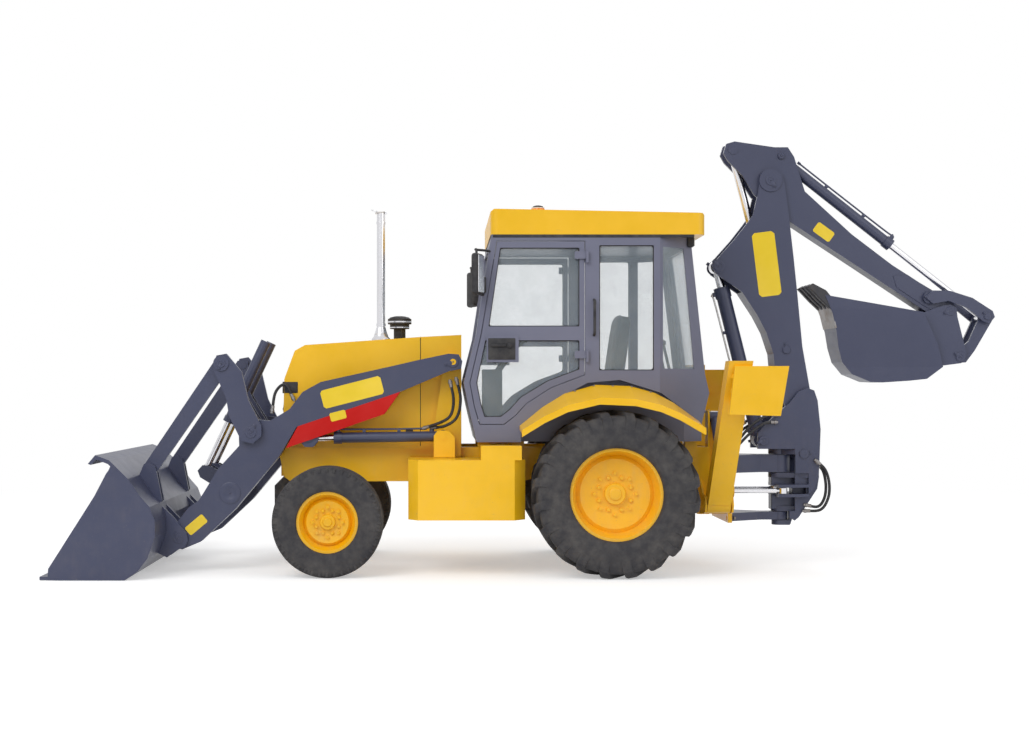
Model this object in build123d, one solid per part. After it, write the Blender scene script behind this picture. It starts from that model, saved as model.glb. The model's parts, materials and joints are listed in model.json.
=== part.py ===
from build123d import *
import math
import os

# Backhoe loader, millimetres, +Z up. The front is at -X, the rear at +X, the machine's left at -Y.
# Lengths along X are measured from the rear axle; DATUM_X brings the middle of the whole machine to X = 0.

# ---------------------------------------------------------------- driving dimensions
DATUM_X = 589.5                # from the rear axle to the middle of the overall length
OVERALL_W = 2270.0
PIN_PLAY = 0.5                 # radial play of a pin in its bore
SIDE_PLAY = 5.0                # side play of an ear or a boss
SEAT = 0.3                     # gap of a seated piece

# wheels
WHEELBASE = 2250.0
REAR_TYRE_R = 655.0
REAR_TYRE_W = 490.0
REAR_RIM_R = 366.0
FRONT_TYRE_R = 435.0
FRONT_TYRE_W = 330.0
FRONT_RIM_R = 245.0
REAR_TRACK = OVERALL_W - REAR_TYRE_W
FRONT_TRACK = 1770.0
KINGPIN_Y = 640.0              # steering kingpin, from the middle
KINGPIN_R = 24.0
STUB_R = 42.0
ENGINE_Z = 800.0
HUB_R = 75.0

# chassis
RAIL_IN, RAIL_OUT = 330.0, 400.0
RAIL_TOP = 1000.0
NOSE_X = -2689.0
AXLE_BEAM_R = 110.0
TOWER_IN, TOWER_OUT = 440.0, 490.0
TOW_X = -2620.0
TOW_R = 20.0
TOW_SLOT = (570.0, 630.0)
TIE_R = 22.0                   # tie-down holes in the rear plate
TIE_AT = (310.0, 412.0)

# cab
CAB_HALF = 780.0
CAB_WALL = 45.0
CAB_INNER = 620.0              # inner wheel-arch wall
CAB_FLOOR = 1054.0
CAB_CHAMFER_X = 377.0          # where the rear corners start to turn in
CAB_REAR_HALF = 450.0
CAB_REAR_X = 830.0
ROOF_LOW, ROOF_HIGH = 2705.0, 2910.0
DOOR_GAP = 6.0
DOOR_HINGE_X = -200.0
DOOR_HINGE_Y = CAB_HALF + 20
DOOR_PIN_R = 7.0
DOOR_HINGES = (1690.0, 2480.0)  # heights of the door hinges
GLASS_T = 8.0

# loader: lift arm layer and pins (x, z)
ARM_IN, ARM_OUT = 500.0, 640.0
ARM_PIN = (-1265.0, 1695.0)
LIFT_BASE = (-1346.0, 1095.0)
LIFT_EYE = (-2426.0, 1079.0)
LIFT_Y = 570.0
BUCKET_PIN = (-3467.0, 275.0)
BUCKET_LEVER = (-236.0, 554.0)
ROCKER_PIN = (-2886.0, 1129.0)
TILT_EYE = (-3330.0, 784.0)
TILT_TRUNNION = (-3035.0, 1415.0)
TILT_Y = 200.0
TILT_EAR = (54.0, 72.0)        # inner and outer face of the tilt ram's ears, from its middle
TORQUE_TUBE = (-3060.0, 640.0)
ROCKER_IN, ROCKER_OUT = 655.0, 695.0
LINK_IN, LINK_OUT = 603.0, 647.0

# backhoe: pins (x, z)
KING_X = 1500.0                # swing kingpin
UPPER_LUG = (777.0, 924.0)
LOWER_LUG = (375.0, 442.0)
SWING_ROD_Y = 150.0
SWING_ROD_Z = 625.0
SWING_EYE_R = 38.0
SWING_BAR_R = 20.0
SWING_ROD_IN = 800.0           # inner end of the swing rods at rest
LUG_SIDE = 6.0                 # how far a lug's flanks lie inside its boss
POST_BODY = 215.0              # from the kingpin back to the post's full width
REAR_PLATE_X = 1034.0
SWING_PLATE_T = 16.0
SWING_PLATE_HALF = 230.0
SWING_GLAND_R = 58.0
BOOM_FOOT = (1674.0, 933.0)
BOOM_RAM_BASE = (1335.0, 1045.0)
BOOM_RAM_EYE = (971.0, 2507.0)
DIPPER_PIN = (1405.0, 3228.0)
CROWD_BASE = (1537.0, 1806.0)
CROWD_EYE = (1097.0, 3496.0)
HOE_RAM_BASE = (1501.0, 3439.0)
HOE_PIN = (2914.0, 2131.0)
IDLER_PIN = (2739.0, 2246.0)
COUPLER_TOP = (3218.0, 2085.0)
COUPLER_LOW = (2999.0, 1747.0)
POST_IN, POST_OUT = 125.0, 160.0
BOOM_IN, BOOM_OUT = 95.0, 120.0
DIPPER_IN, DIPPER_OUT = 58.0, 88.0
HOE_EAR_IN, HOE_EAR_OUT = 93.0, 118.0
IDLER_IN, IDLER_OUT = 125.0, 147.0
HOE_MOUTH_HALF = 205.0         # half width of the hoe bucket at its mouth
HOE_HEEL_HALF = 165.0          # and at its heel
HOE_WALL = 16.0
HOE_TEETH = 4

# stabilizers: points (y, z) on the right-hand side
STAB_PIN = (595.0, 545.0)
STAB_PIN_R = 32.0
STAB_RAM_BASE = (295.0, 1245.0)
STAB_RAM_EYE = (695.0, 815.0)
STAB_RAM_X = 900.0
STAB_TOP = (OVERALL_W / 2 - 115, 1640.0)  # middle of the leg's upper end
STAB_X = (872.0, 952.0)        # middle of the leg, at the pin and at the upper end
STAB_LEG_W = 185.0             # leg along X
STAB_LEG_D = 150.0             # leg across
STAB_WALL = 12.0
STAB_CHEEK = 14.0
STAB_PLATES = (836.0, 960.0)   # front faces of the two cross plates that hold the rams
PAD_OUT = OVERALL_W / 2
PAD_T = 30.0


# ---------------------------------------------------------------- shared shapes
def slab(points, y0, y1, radius=0.0):
    """Plate with an (x, z) outline, from y0 to y1; radius rounds every corner."""
    if radius:
        outline = make_face(FilletPolyline(*points, radius=radius, close=True))
    else:
        outline = make_face(Polyline(*points, close=True))
    return extrude(Plane.XZ.offset(-y1) * outline, y1 - y0)


def pair(points, y0, y1, radius=0.0):
    """The same plate on both sides of the middle."""
    side = slab(points, y0, y1, radius)
    return side + mirror(side, Plane.XZ)


def block(x0, x1, y0, y1, z0, z1):
    """Box between two corners."""
    middle = Pos((x0 + x1) / 2, (y0 + y1) / 2, (z0 + z1) / 2)
    return middle * Box(abs(x1 - x0), abs(y1 - y0), abs(z1 - z0))


def both(shape):
    """A shape and its mirror image on the machine's other side."""
    return shape + mirror(shape, Plane.XZ)


def cross_pin(at, r, y0, y1):
    """Cylinder along Y, centred at (x, z), from y0 to y1."""
    return Pos(at[0], (y0 + y1) / 2, at[1]) * Rot(90, 0, 0) * Cylinder(r, abs(y1 - y0))


def cross_pins(at, r, y0, y1):
    """A cylinder along Y on each side of the middle."""
    return both(cross_pin(at, r, y0, y1))


def post(x, y, z0, z1, r):
    """Upright cylinder."""
    return Pos(x, y, (z0 + z1) / 2) * Cylinder(r, z1 - z0)


def rod_between(a, b, r, y=0.0):
    """Round bar from (x, z) point a to b."""
    length = math.dist(a, b)
    tilt = math.degrees(math.atan2(b[0] - a[0], b[1] - a[1]))
    return Pos((a[0] + b[0]) / 2, y, (a[1] + b[1]) / 2) * Rot(0, tilt, 0) * Cylinder(r, length)


def along(a, b, distance):
    """The point at a distance from a, towards b."""
    share = distance / math.dist(a, b)
    return (a[0] + (b[0] - a[0]) * share, a[1] + (b[1] - a[1]) * share)


def ram_barrel(base, eye, y, length, outer_r, rod_r, pin_r, eye_half):
    """Cylinder barrel with a base eye, end cap and gland, bored for its rod."""
    start = along(base, eye, pin_r + 14)
    end = along(base, eye, length)
    tube = rod_between(start, end, outer_r, y)
    tube += rod_between(along(base, eye, length - 3 * outer_r / 2), end, outer_r + 8, y)
    tube += cross_pin(base, pin_r + 22, y - eye_half, y + eye_half)
    tube -= rod_between(along(base, eye, pin_r + 60), along(base, eye, length + 10), rod_r + PIN_PLAY, y)
    return tube - cross_pin(base, pin_r + PIN_PLAY, y - eye_half - 1, y + eye_half + 1)


def ram_rod(base, eye, y, start, rod_r, pin_r, eye_half):
    """Piston rod from inside the barrel to its bored eye."""
    bar = rod_between(along(base, eye, start), along(eye, base, pin_r + 8), rod_r, y)
    bar += cross_pin(eye, pin_r + 22, y - eye_half, y + eye_half)
    return bar - cross_pin(eye, pin_r + PIN_PLAY, y - eye_half - 1, y + eye_half + 1)


PARTS = {}


def keep(name, shape):
    """Put a finished piece into the machine under its node's name."""
    PARTS[name] = Pos(DATUM_X, 0, 0) * shape


# ---------------------------------------------------------------- wheels
def ring_profile(points):
    """Solid of revolution about the wheel axis, from (radius, y) points."""
    face = Plane.YZ * make_face(Polyline(*[(y, r) for r, y in points], close=True))
    return revolve(face, Axis.Y, 360)


def tyre(outer_r, width, rim_r):
    """Tyre with rounded shoulders; its inside is the air space over the rim."""
    w = width / 2
    wall = 26.0
    bulge = (outer_r + rim_r) / 2
    body = ring_profile([
        (rim_r, -w * 0.74), (bulge, -w), (outer_r - 45, -w * 0.97), (outer_r, -w * 0.80),
        (outer_r, w * 0.80), (outer_r - 45, w * 0.97), (bulge, w), (rim_r, w * 0.74),
    ])
    air = ring_profile([
        (rim_r - 1, -w * 0.74 + wall), (bulge, -w + wall), (outer_r - 60, -w * 0.85),
        (outer_r - 60, w * 0.85), (bulge, w - wall), (rim_r - 1, w * 0.74 - wall),
    ])
    return body - air


def rim(rim_r, width, dish_r, dish_y, hub_r, bolts, bolt_ring_r, bore_r):
    """Wheel rim: a channel barrel and a disc set back from the outer face (at -Y)."""
    w = width * 0.37
    barrel = ring_profile([
        (rim_r - 26, -w), (rim_r - SEAT, -w), (rim_r - SEAT, w), (rim_r - 26, w),
        (rim_r - 60, w * 0.5), (rim_r - 60, -w * 0.3),
    ])
    disc = ring_profile([
        (bore_r, dish_y - 10), (hub_r, dish_y - 10), (dish_r, dish_y - 28), (rim_r - 40, -w * 0.2),
        (rim_r - 40, w * 0.05), (dish_r, dish_y), (hub_r, dish_y + 16), (bore_r, dish_y + 16),
    ])
    wheel = barrel + disc
    for i in range(bolts):
        turn = Rot(0, 360.0 * i / bolts, 0)
        wheel += turn * Pos(0, dish_y - 22, bolt_ring_r) * Rot(90, 0, 0) * Cylinder(13, 24)
    return wheel


def make_wheels():
    for side, sign in (("left", -1), ("right", 1)):
        flip = Rot(0, 0, 0) if sign < 0 else Rot(0, 0, 180)
        rear = Pos(0, sign * REAR_TRACK / 2, REAR_TYRE_R)
        front = Pos(-WHEELBASE, sign * FRONT_TRACK / 2, FRONT_TYRE_R)
        keep(f"rear_tyre_{side}", rear * flip * tyre(REAR_TYRE_R, REAR_TYRE_W, REAR_RIM_R))
        keep(f"front_tyre_{side}", front * flip * tyre(FRONT_TYRE_R, FRONT_TYRE_W, FRONT_RIM_R))
        keep(f"rear_rim_{side}", rear * flip * rim(
            REAR_RIM_R, REAR_TYRE_W, 275, -40, 133, 8, 163, HUB_R + PIN_PLAY))
        keep(f"front_rim_{side}", front * flip * rim(
            FRONT_RIM_R, FRONT_TYRE_W, 165, -50, 90, 8, 118, STUB_R + PIN_PLAY))


# ---------------------------------------------------------------- axles and steering
def make_axles():
    rear_y = REAR_TRACK / 2
    housing = cross_pin((0, REAR_TYRE_R), AXLE_BEAM_R, -520, 520)
    housing += Pos(0, 0, REAR_TYRE_R) * Sphere(215)
    housing += cross_pins((0, REAR_TYRE_R), 150, 520, 640)
    housing += cross_pins((0, REAR_TYRE_R), HUB_R, 640, rear_y + 75)
    housing += both(block(-90, 90, RAIL_IN, RAIL_OUT, REAR_TYRE_R, 800 - SEAT))
    keep("rear_axle", housing)

    axle_z = FRONT_TYRE_R
    beam = slab([(-70, axle_z - 55), (70, axle_z - 55), (70, axle_z + 75), (-70, axle_z + 75)], -560, 560)
    beam = Pos(-WHEELBASE, 0, 0) * beam
    beam += block(-WHEELBASE - 130, -WHEELBASE + 130, -90, 90, axle_z + 20, 700)
    for sign in (-1, 1):
        for low in (axle_z - 105, axle_z + 65):
            ear = block(-WHEELBASE - 55, -WHEELBASE + 55, sign * 540, sign * KINGPIN_Y, low, low + 40)
            ear += post(-WHEELBASE, sign * KINGPIN_Y, low, low + 40, 55)
            beam += ear
        beam += block(-WHEELBASE - 55, -WHEELBASE + 55, sign * 530, sign * 560, axle_z - 105, axle_z + 105)
        beam += post(-WHEELBASE, sign * KINGPIN_Y, axle_z - 104, axle_z + 104, KINGPIN_R)
    keep("front_axle", beam)

    for side, sign in (("left", -1), ("right", 1)):
        knuckle = post(-WHEELBASE, sign * KINGPIN_Y, axle_z - 60, axle_z + 60, 52)
        stub = cross_pin((-WHEELBASE, axle_z), STUB_R, KINGPIN_Y + 15, FRONT_TRACK / 2 + 70)
        knuckle += stub if sign > 0 else mirror(stub, Plane.XZ)
        knuckle += block(-WHEELBASE + 20, -WHEELBASE + 150, sign * 640, sign * 670, axle_z - 25, axle_z + 5)
        knuckle -= post(-WHEELBASE, sign * KINGPIN_Y, axle_z - 61, axle_z + 61, KINGPIN_R + PIN_PLAY)
        keep(f"knuckle_{side}", knuckle)


# ---------------------------------------------------------------- chassis


def yz_plate(points, x0, x1):
    """Plate with a (y, z) outline, from x0 to x1."""
    return extrude(Plane.YZ.offset(x0) * make_face(Polyline(*points, close=True)), x1 - x0)


def x_pin(at, r, x0, x1):
    """Cylinder along X, centred at (y, z), from x0 to x1."""
    return Pos((x0 + x1) / 2, at[0], at[1]) * Rot(0, 90, 0) * Cylinder(r, x1 - x0)


def stabilizer_frame():
    """Cross plates behind the cab, with uprights for the ram pins and cheeks for the leg pins."""
    y_ram, z_ram = STAB_RAM_BASE
    outline = [(0, 450), (360, 450), (360, 1270), (335, 1300), (255, 1300), (230, 1270), (230, RAIL_TOP), (0, RAIL_TOP)]
    shape = None
    for x in STAB_PLATES:
        plate = yz_plate(outline, x, x + STAB_CHEEK)
        shape = plate if shape is None else shape + plate
    first, last = STAB_PLATES[0], STAB_PLATES[1] + STAB_CHEEK
    shape += block(first, last, 0, 360, 450, 470)
    shape += block(first, last, 230, 244, 450, 1270)
    shape += block(first, REAR_PLATE_X, 0, 400, 700, 730)
    shape += x_pin(STAB_RAM_BASE, 24, first, last + 6)
    shape += block(745, first + 2, 230, RAIL_OUT, 450, RAIL_TOP)
    low = STAB_X[0] - STAB_LEG_W / 2
    y, z = STAB_PIN
    cheek = [(330, 450), (y - 20, z - 75), (y + 45, z - 62), (y + 72, z), (y + 40, z + 66), (y - 60, z + 80), (330, 790)]
    for x in (low - SIDE_PLAY - STAB_CHEEK, low + STAB_LEG_W + SIDE_PLAY + 7):
        shape += yz_plate(cheek, x, x + STAB_CHEEK)
    shape += x_pin(STAB_PIN, STAB_PIN_R, low - 24, low + STAB_LEG_W + 31)
    return both(shape)


def swing_bracket(low, high, boss_r):
    """Flat lug that reaches back from the mounting plate to its own swing kingpin."""
    neck = KING_X - 170
    half = boss_r - LUG_SIDE
    plan = [(REAR_PLATE_X, -SWING_PLATE_HALF), (neck, -half), (KING_X, -half),
            (KING_X, half), (neck, half), (REAR_PLATE_X, SWING_PLATE_HALF)]
    lug = extrude(Plane.XY.offset(low) * make_face(Polyline(*plan, close=True)), high - low)
    lug += post(KING_X, 0, low, high, boss_r)
    return lug + post(KING_X, 0, low - 45, high + 45, 40)


def swing_barrel(y):
    """Swing cylinder fixed in the rear frame; its bore is open towards the rear."""
    turn = Rot(0, 90, 0)
    barrel = Pos(825, y, SWING_ROD_Z) * turn * Cylinder(52, 410)
    return barrel + Pos(1050, y, SWING_ROD_Z) * turn * Cylinder(SWING_GLAND_R, 70)


def loader_tower():
    """Tower beside the hood with the arm pin, and ears for the lift cylinder."""
    foot = RAIL_TOP - 75
    outline = [(-1420, foot), (-1200, foot), (-1195, 1620), (-1215, 1745), (-1265, 1770), (-1320, 1745),
               (-1345, 1640), (-1420, 1150)]
    tower = slab(outline, TOWER_IN, TOWER_OUT)
    tower += block(-1420, -1200, RAIL_OUT - 10, TOWER_IN + 10, foot, RAIL_TOP)
    tower += cross_pin(ARM_PIN, 62, TOWER_OUT - 5, ARM_IN - SEAT)
    tower += cross_pin(ARM_PIN, 35, TOWER_OUT - 5, ARM_OUT + 5)
    ear = [(-1420, foot), (-1250, foot), (-1250, 1090), (-1300, 1142), (-1390, 1142), (-1420, 1100)]
    for low, high in ((509, 523), (617, 631)):
        tower += slab(ear, low, high)
    tower += block(-1420, -1250, TOWER_OUT - 5, 631, foot, foot + 20)
    return both(tower + cross_pin(LIFT_BASE, 28, 509, 638))


def make_frame():
    rail = [(NOSE_X, 941), (NOSE_X + 45, 754), (-2600, 720), (-700, 720), (-330, 800), (250, 800),
            (480, 600), (745, 450), (829, 450), (829, RAIL_TOP), (NOSE_X + 40, RAIL_TOP)]
    frame = pair(rail, RAIL_IN, RAIL_OUT)
    frame += block(NOSE_X + 10, NOSE_X + 60, -RAIL_IN - 5, RAIL_IN + 5, 760, 960)
    frame += block(NOSE_X + 30, -2420, -RAIL_IN - 5, RAIL_IN + 5, 756 + SEAT, 800)
    frame += block(-WHEELBASE - 130, -WHEELBASE + 130, -RAIL_IN - 5, RAIL_IN + 5, 700 + SEAT, 760)
    frame += block(-1700, -1100, -RAIL_IN - 5, RAIL_IN + 5, 740, ENGINE_Z - SEAT)
    frame += both(block(-2560, -1180, RAIL_IN + 30, RAIL_OUT + 28, RAIL_TOP - 20, RAIL_TOP))
    for x in (-1060, -780, 300, 640):
        frame += both(block(x, x + 100, RAIL_IN, RAIL_OUT, RAIL_TOP - 5, CAB_FLOOR - SEAT))
    frame += loader_tower()
    frame += stabilizer_frame()
    frame += block(REAR_PLATE_X - 34, REAR_PLATE_X, -360, 360, 375, 940)
    frame += block(STAB_PLATES[1], REAR_PLATE_X - 30, -360, 360, 450, 480)
    frame += block(STAB_PLATES[1], REAR_PLATE_X - 30, -360, 360, 900, 940)
    frame -= both(x_pin(TIE_AT, TIE_R, REAR_PLATE_X - 40, REAR_PLATE_X + 5))
    for y in (-SWING_ROD_Y, SWING_ROD_Y):
        frame += swing_barrel(y)
        frame -= Pos(900, y, SWING_ROD_Z) * Rot(0, 90, 0) * Cylinder(SWING_BAR_R + PIN_PLAY, 520)
    keep("main_frame", frame)


def make_swing_frame():
    """Mounting plate with the two kingpin lugs, open round the swing cylinders."""
    bracket = block(REAR_PLATE_X, REAR_PLATE_X + SWING_PLATE_T, -SWING_PLATE_HALF, SWING_PLATE_HALF,
                    LOWER_LUG[0], UPPER_LUG[1])
    for y in (-SWING_ROD_Y, SWING_ROD_Y):
        bracket -= x_pin((y, SWING_ROD_Z), SWING_GLAND_R + SIDE_PLAY, REAR_PLATE_X - 1, REAR_PLATE_X + SWING_PLATE_T + 1)
    bracket += swing_bracket(*UPPER_LUG, 92)
    bracket += swing_bracket(*LOWER_LUG, 70)
    keep("swing_frame", bracket)


def make_nose_weight():
    """Front weight with a towing slot and a hole for the towing pin."""
    outline = [(-2735, 497), (-2504, 497), (-2504, 756), (-2660, 756), (-2735, 680)]
    weight = slab(outline, -RAIL_IN + SIDE_PLAY, RAIL_IN - SIDE_PLAY)
    weight -= block(-2750, -2560, -70, 70, TOW_SLOT[0], TOW_SLOT[1])
    weight -= post(TOW_X, 0, 490, 770, TOW_R)
    keep("front_counterweight", weight)


def make_boxes():
    """Fuel tank on the left, step and battery box on the right."""
    plan = [(-1620, 432), (-700, 432), (-700, 900), (-788, 1000), (-1543, 1000), (-1620, 900)]
    body = extrude(Plane.XY.offset(451) * make_face(Polyline(*plan, close=True)), 470)
    body += block(-1050, -732, 820, 1000, 921, 1033)
    body += block(-1480, -850, RAIL_OUT + SEAT, 440, 740, 900)
    keep("side_boxes", both(body))


def make_engine():
    keep("engine_block", block(-2350, -1480, -260, 260, ENGINE_Z, 1560))


# ---------------------------------------------------------------- hood
def make_hood():
    outline = [(-1195, RAIL_TOP + SEAT), (-1195, 1920), (-1530, 1903), (-2476, 1837), (-2560, 1790),
               (-2645, 1560), (-2660, RAIL_TOP + SEAT)]
    inner = [(-1205, 990), (-1205, 1905), (-1530, 1888), (-2470, 1822), (-2547, 1780), (-2630, 1556), (-2645, 990)]
    hood = slab(outline, -420, 420)
    hood -= slab(inner, -405, 405)
    hood -= block(-1260, -1100, -380, 380, 990, 1860)
    for i in range(9):
        z = 1080 + 42 * i
        hood -= block(-2700, -2600, -250, 250, z, z + 22)
    for sign in (-1, 1):
        hood -= block(-2700, -2540, sign * 284, sign * 400, 1444, 1534)
    hood -= post(-1862, -200, 1800, 2000, 40)
    hood -= post(-1712, 0, 1800, 2000, 58)
    keep("hood", hood)
    stack = post(-1862, -200, 1560 + SEAT, 2945, 33)
    stack += post(-1862, -200, 1888, 1935, 55)
    stack += Pos(-1868, -200, 2946) * Rot(0, -8, 0) * Box(84, 74, 8)
    keep("exhaust_stack", stack)
    cleaner = post(-1712, 0, 1560 + SEAT, 1985, 50)
    cleaner += post(-1712, 0, 1985, 2025, 82)
    cleaner += post(-1712, 0, 2025, 2069, 100)
    keep("pre_cleaner", cleaner)


# ---------------------------------------------------------------- cab
CAB_SIDE = [(-961, 2705), (-1084, 1911), (-1182, 1526), (-1141, 1328), (-1077, 1054), (-727, 1054), (-727, 1177),
            (-629, 1223), (-395, 1421), (-197, 1526), (60, 1549), (390, 1445), (600, 1305), (757, 1188),
            (830, 1445), (790, 1596), (655, 2705)]
DOOR_SIDE = [(-915, 2650), (-1040, 1911), (-1130, 1526), (-1092, 1328), (-1052, 1199), (-862, 1199), (-769, 1271),
             (-687, 1363), (-488, 1491), (-222, 1592), (-222, 2650)]
CAB_TUB = CAB_SIDE[:5] + [(757, CAB_FLOOR)] + CAB_SIDE[-4:]
REAR_PANE = [(-104, 1625), (-104, 2620), (330, 2620), (330, 1625)]
CORNER_PANE = [(405, 1640), (405, 2610), (590, 2610), (690, 1640)]


def grown(points, by):
    """Outline pushed outwards (or inwards, for a negative value) by a distance."""
    face = make_face(Polyline(*points, close=True))
    return offset(face, amount=by, kind=Kind.INTERSECTION)


def panel(face, y0, y1):
    """Plate from a ready face in the (x, z) plane."""
    return extrude(Plane.XZ.offset(-y1) * face, y1 - y0)


def cab_envelope(inset):
    """The cab's outer form, drawn in by a distance on every side."""
    upper = panel(grown(CAB_SIDE, -inset), -CAB_HALF + inset, CAB_HALF - inset)
    tub = panel(grown(CAB_TUB, -inset), -CAB_INNER + inset, CAB_INNER - inset)
    slope = (CAB_HALF - CAB_REAR_HALF) / (CAB_REAR_X - CAB_CHAMFER_X)
    back = CAB_REAR_HALF - inset * 1.24 - slope * 100
    corner_x = CAB_REAR_X + 100
    plan = [(-1500, -CAB_HALF), (CAB_CHAMFER_X - inset * 0.25, -CAB_HALF), (corner_x, -back), (corner_x, back),
            (CAB_CHAMFER_X - inset * 0.25, CAB_HALF), (-1500, CAB_HALF)]
    prism = extrude(Plane.XY.offset(900) * make_face(Polyline(*plan, close=True)), 2000)
    return (upper + tub) & prism


def cab_windows(shrink):
    """Prisms that cut the cab's fixed windows, made smaller by a gap."""
    g = shrink
    cuts = block(-1300, -850, -690 + g, 690 - g, 1570 + g, 2630 - g)
    cuts += both(block(-1300, -1020, 440 + g, 690 - g, 1170 + g, 1470 - g))
    cuts += both(panel(grown(REAR_PANE, -g), 600, CAB_HALF + 10))
    cuts += both(panel(grown(CORNER_PANE, -g), CAB_REAR_HALF + 45, CAB_HALF + 10))
    cuts += block(560, 900, -CAB_REAR_HALF + 30 + g, CAB_REAR_HALF - 30 - g, 1660 + g, 2620 - g)
    return cuts


def make_cab():
    cab = cab_envelope(0) - cab_envelope(CAB_WALL)
    cab -= cab_windows(0)
    cab -= both(panel(grown(DOOR_SIDE, DOOR_GAP), CAB_HALF - 60, CAB_HALF + 10))
    for z in DOOR_HINGES:
        ear = block(DOOR_HINGE_X - 12, DOOR_HINGE_X + 12, CAB_HALF - 5, DOOR_HINGE_Y, z, z + 30)
        ear += post(DOOR_HINGE_X, DOOR_HINGE_Y, z, z + 30, 13)
        cab += both(ear + post(DOOR_HINGE_X, DOOR_HINGE_Y, z, z + 90, DOOR_PIN_R))
    keep("cab_frame", cab)


def make_cab_glass():
    layer = cab_envelope(18) - cab_envelope(18 + GLASS_T)
    keep("cab_windows", layer & cab_windows(SEAT))


def make_doors():
    upper = [(-893, 2600), (-985, 1974), (-262, 1974), (-262, 2600)]
    lower = [(-1010, 1864), (-1082, 1526), (-1046, 1345), (-1018, 1255), (-885, 1255), (-815, 1310), (-725, 1410),
             (-510, 1540), (-262, 1632), (-262, 1864)]
    for side, sign in (("left", -1), ("right", 1)):
        y0, y1 = CAB_HALF - CAB_WALL + 5, CAB_HALF
        leaf = slab(DOOR_SIDE, y0, y1)
        leaf -= slab(upper, y0 - 5, y1 + 5)
        leaf -= slab(lower, y0 - 5, y1 + 5)
        leaf += block(-1000, -745, CAB_HALF - 15, CAB_HALF + 14, 1690, 1900)
        for z in DOOR_HINGES:
            low = z + 30 + SEAT
            leaf += block(-300, DOOR_HINGE_X, CAB_HALF + 7, CAB_HALF + 17, low, z + 90)
            leaf += block(-300, -240, CAB_HALF - 5, CAB_HALF + 17, low, z + 90)
            leaf += post(DOOR_HINGE_X, DOOR_HINGE_Y, low, z + 90, 13)
            leaf -= post(DOOR_HINGE_X, DOOR_HINGE_Y, low - 1, z + 91, DOOR_PIN_R + 0.3)
        glass = panel(grown(upper, -SEAT), CAB_HALF - 26, CAB_HALF - 18)
        glass += panel(grown(lower, -SEAT), CAB_HALF - 26, CAB_HALF - 18)
        if sign < 0:
            leaf = mirror(leaf, Plane.XZ)
            glass = mirror(glass, Plane.XZ)
        keep(f"door_{side}", leaf)
        keep(f"door_glass_{side}", glass)


def roof_top(x):
    """Height of the roof's upper face."""
    return ROOF_HIGH - (x + 940) * 32 / 1660


def make_roof():
    outline = [(-968, ROOF_LOW + SEAT), (740, ROOF_LOW + SEAT), (740, 2860), (720, roof_top(720)),
               (-940, ROOF_HIGH), (-968, 2890)]
    roof = slab(outline, -CAB_HALF, CAB_HALF)
    roof = fillet(roof.edges().filter_by(Axis.Z), 60)
    keep("cab_roof", roof)
    lamps = both(block(-2650, -2548, 284 + SEAT, 400 - SEAT, 1444 + SEAT, 1534 - SEAT))
    lamps += post(-560, -300, roof_top(-615) + SEAT, 2975, 55)
    for x in (-310, -30):
        lamps += post(x, -300, roof_top(x - 110) + SEAT, roof_top(x) + 26, 110)
    keep("lamps", lamps)


# crest of the rear wing: x, height at the cab wall, height at the outer lip
WING_CREST = [(-737, 1185, 1161), (-560, 1330, 1270), (-382, 1440, 1354), (-135, 1510, 1412), (143, 1500, 1400),
              (336, 1446, 1355), (483, 1370, 1292), (683, 1225, 1176)]


def make_fenders():
    t = 30
    inner = [(x, high) for x, high, low in WING_CREST] + [(x, high - t) for x, high, low in WING_CREST[::-1]]
    outer = [(x, low) for x, high, low in WING_CREST] + [(x, low - t) for x, high, low in WING_CREST[::-1]]
    ends = []
    for y, outline in ((CAB_HALF + SEAT, inner), (OVERALL_W / 2 - 55, outer)):
        ends.append(Plane.XZ.offset(-y) * make_face(Polyline(*outline, close=True)))
    wing = loft(ends, ruled=True)
    lip = [(x, low) for x, high, low in WING_CREST] + [(x, low - 55) for x, high, low in WING_CREST[::-1]]
    wing += slab(lip, OVERALL_W / 2 - 56, OVERALL_W / 2)
    keep("rear_fenders", both(wing))


def make_interior():
    floor = CAB_FLOOR + CAB_WALL + SEAT
    cushions = block(-460, 10, -250, 250, 1330 + SEAT, 1460)
    cushions += Pos(130, 0, 1790) * Rot(0, 8, 0) * Box(110, 480, 600)
    keep("seat_cushions", cushions)
    fittings = block(-420, 20, -230, 230, floor, 1330)
    fittings += block(15, 140, -200, 200, 1180, 1230) + block(95, 140, -200, 200, 1180, 1485)
    dash = block(-1010, -850, -180, 180, floor, 1640)
    dash += rod_between((-900, 1600), (-760, 1800), 28)
    wheel = Torus(190, 16) + Box(370, 40, 14) + Box(40, 370, 14)
    dash += Pos(-750, 0, 1815) * Rot(0, -35, 0) * wheel
    hoe = block(500, 640, -260, 260, floor, 1620)
    for y in (-150, 150):
        hoe += rod_between((560, 1600), (500, 1850), 12, y)
        hoe += Pos(497, y, 1862) * Sphere(26)
    keep("cab_controls", fittings + dash + hoe)


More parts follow.
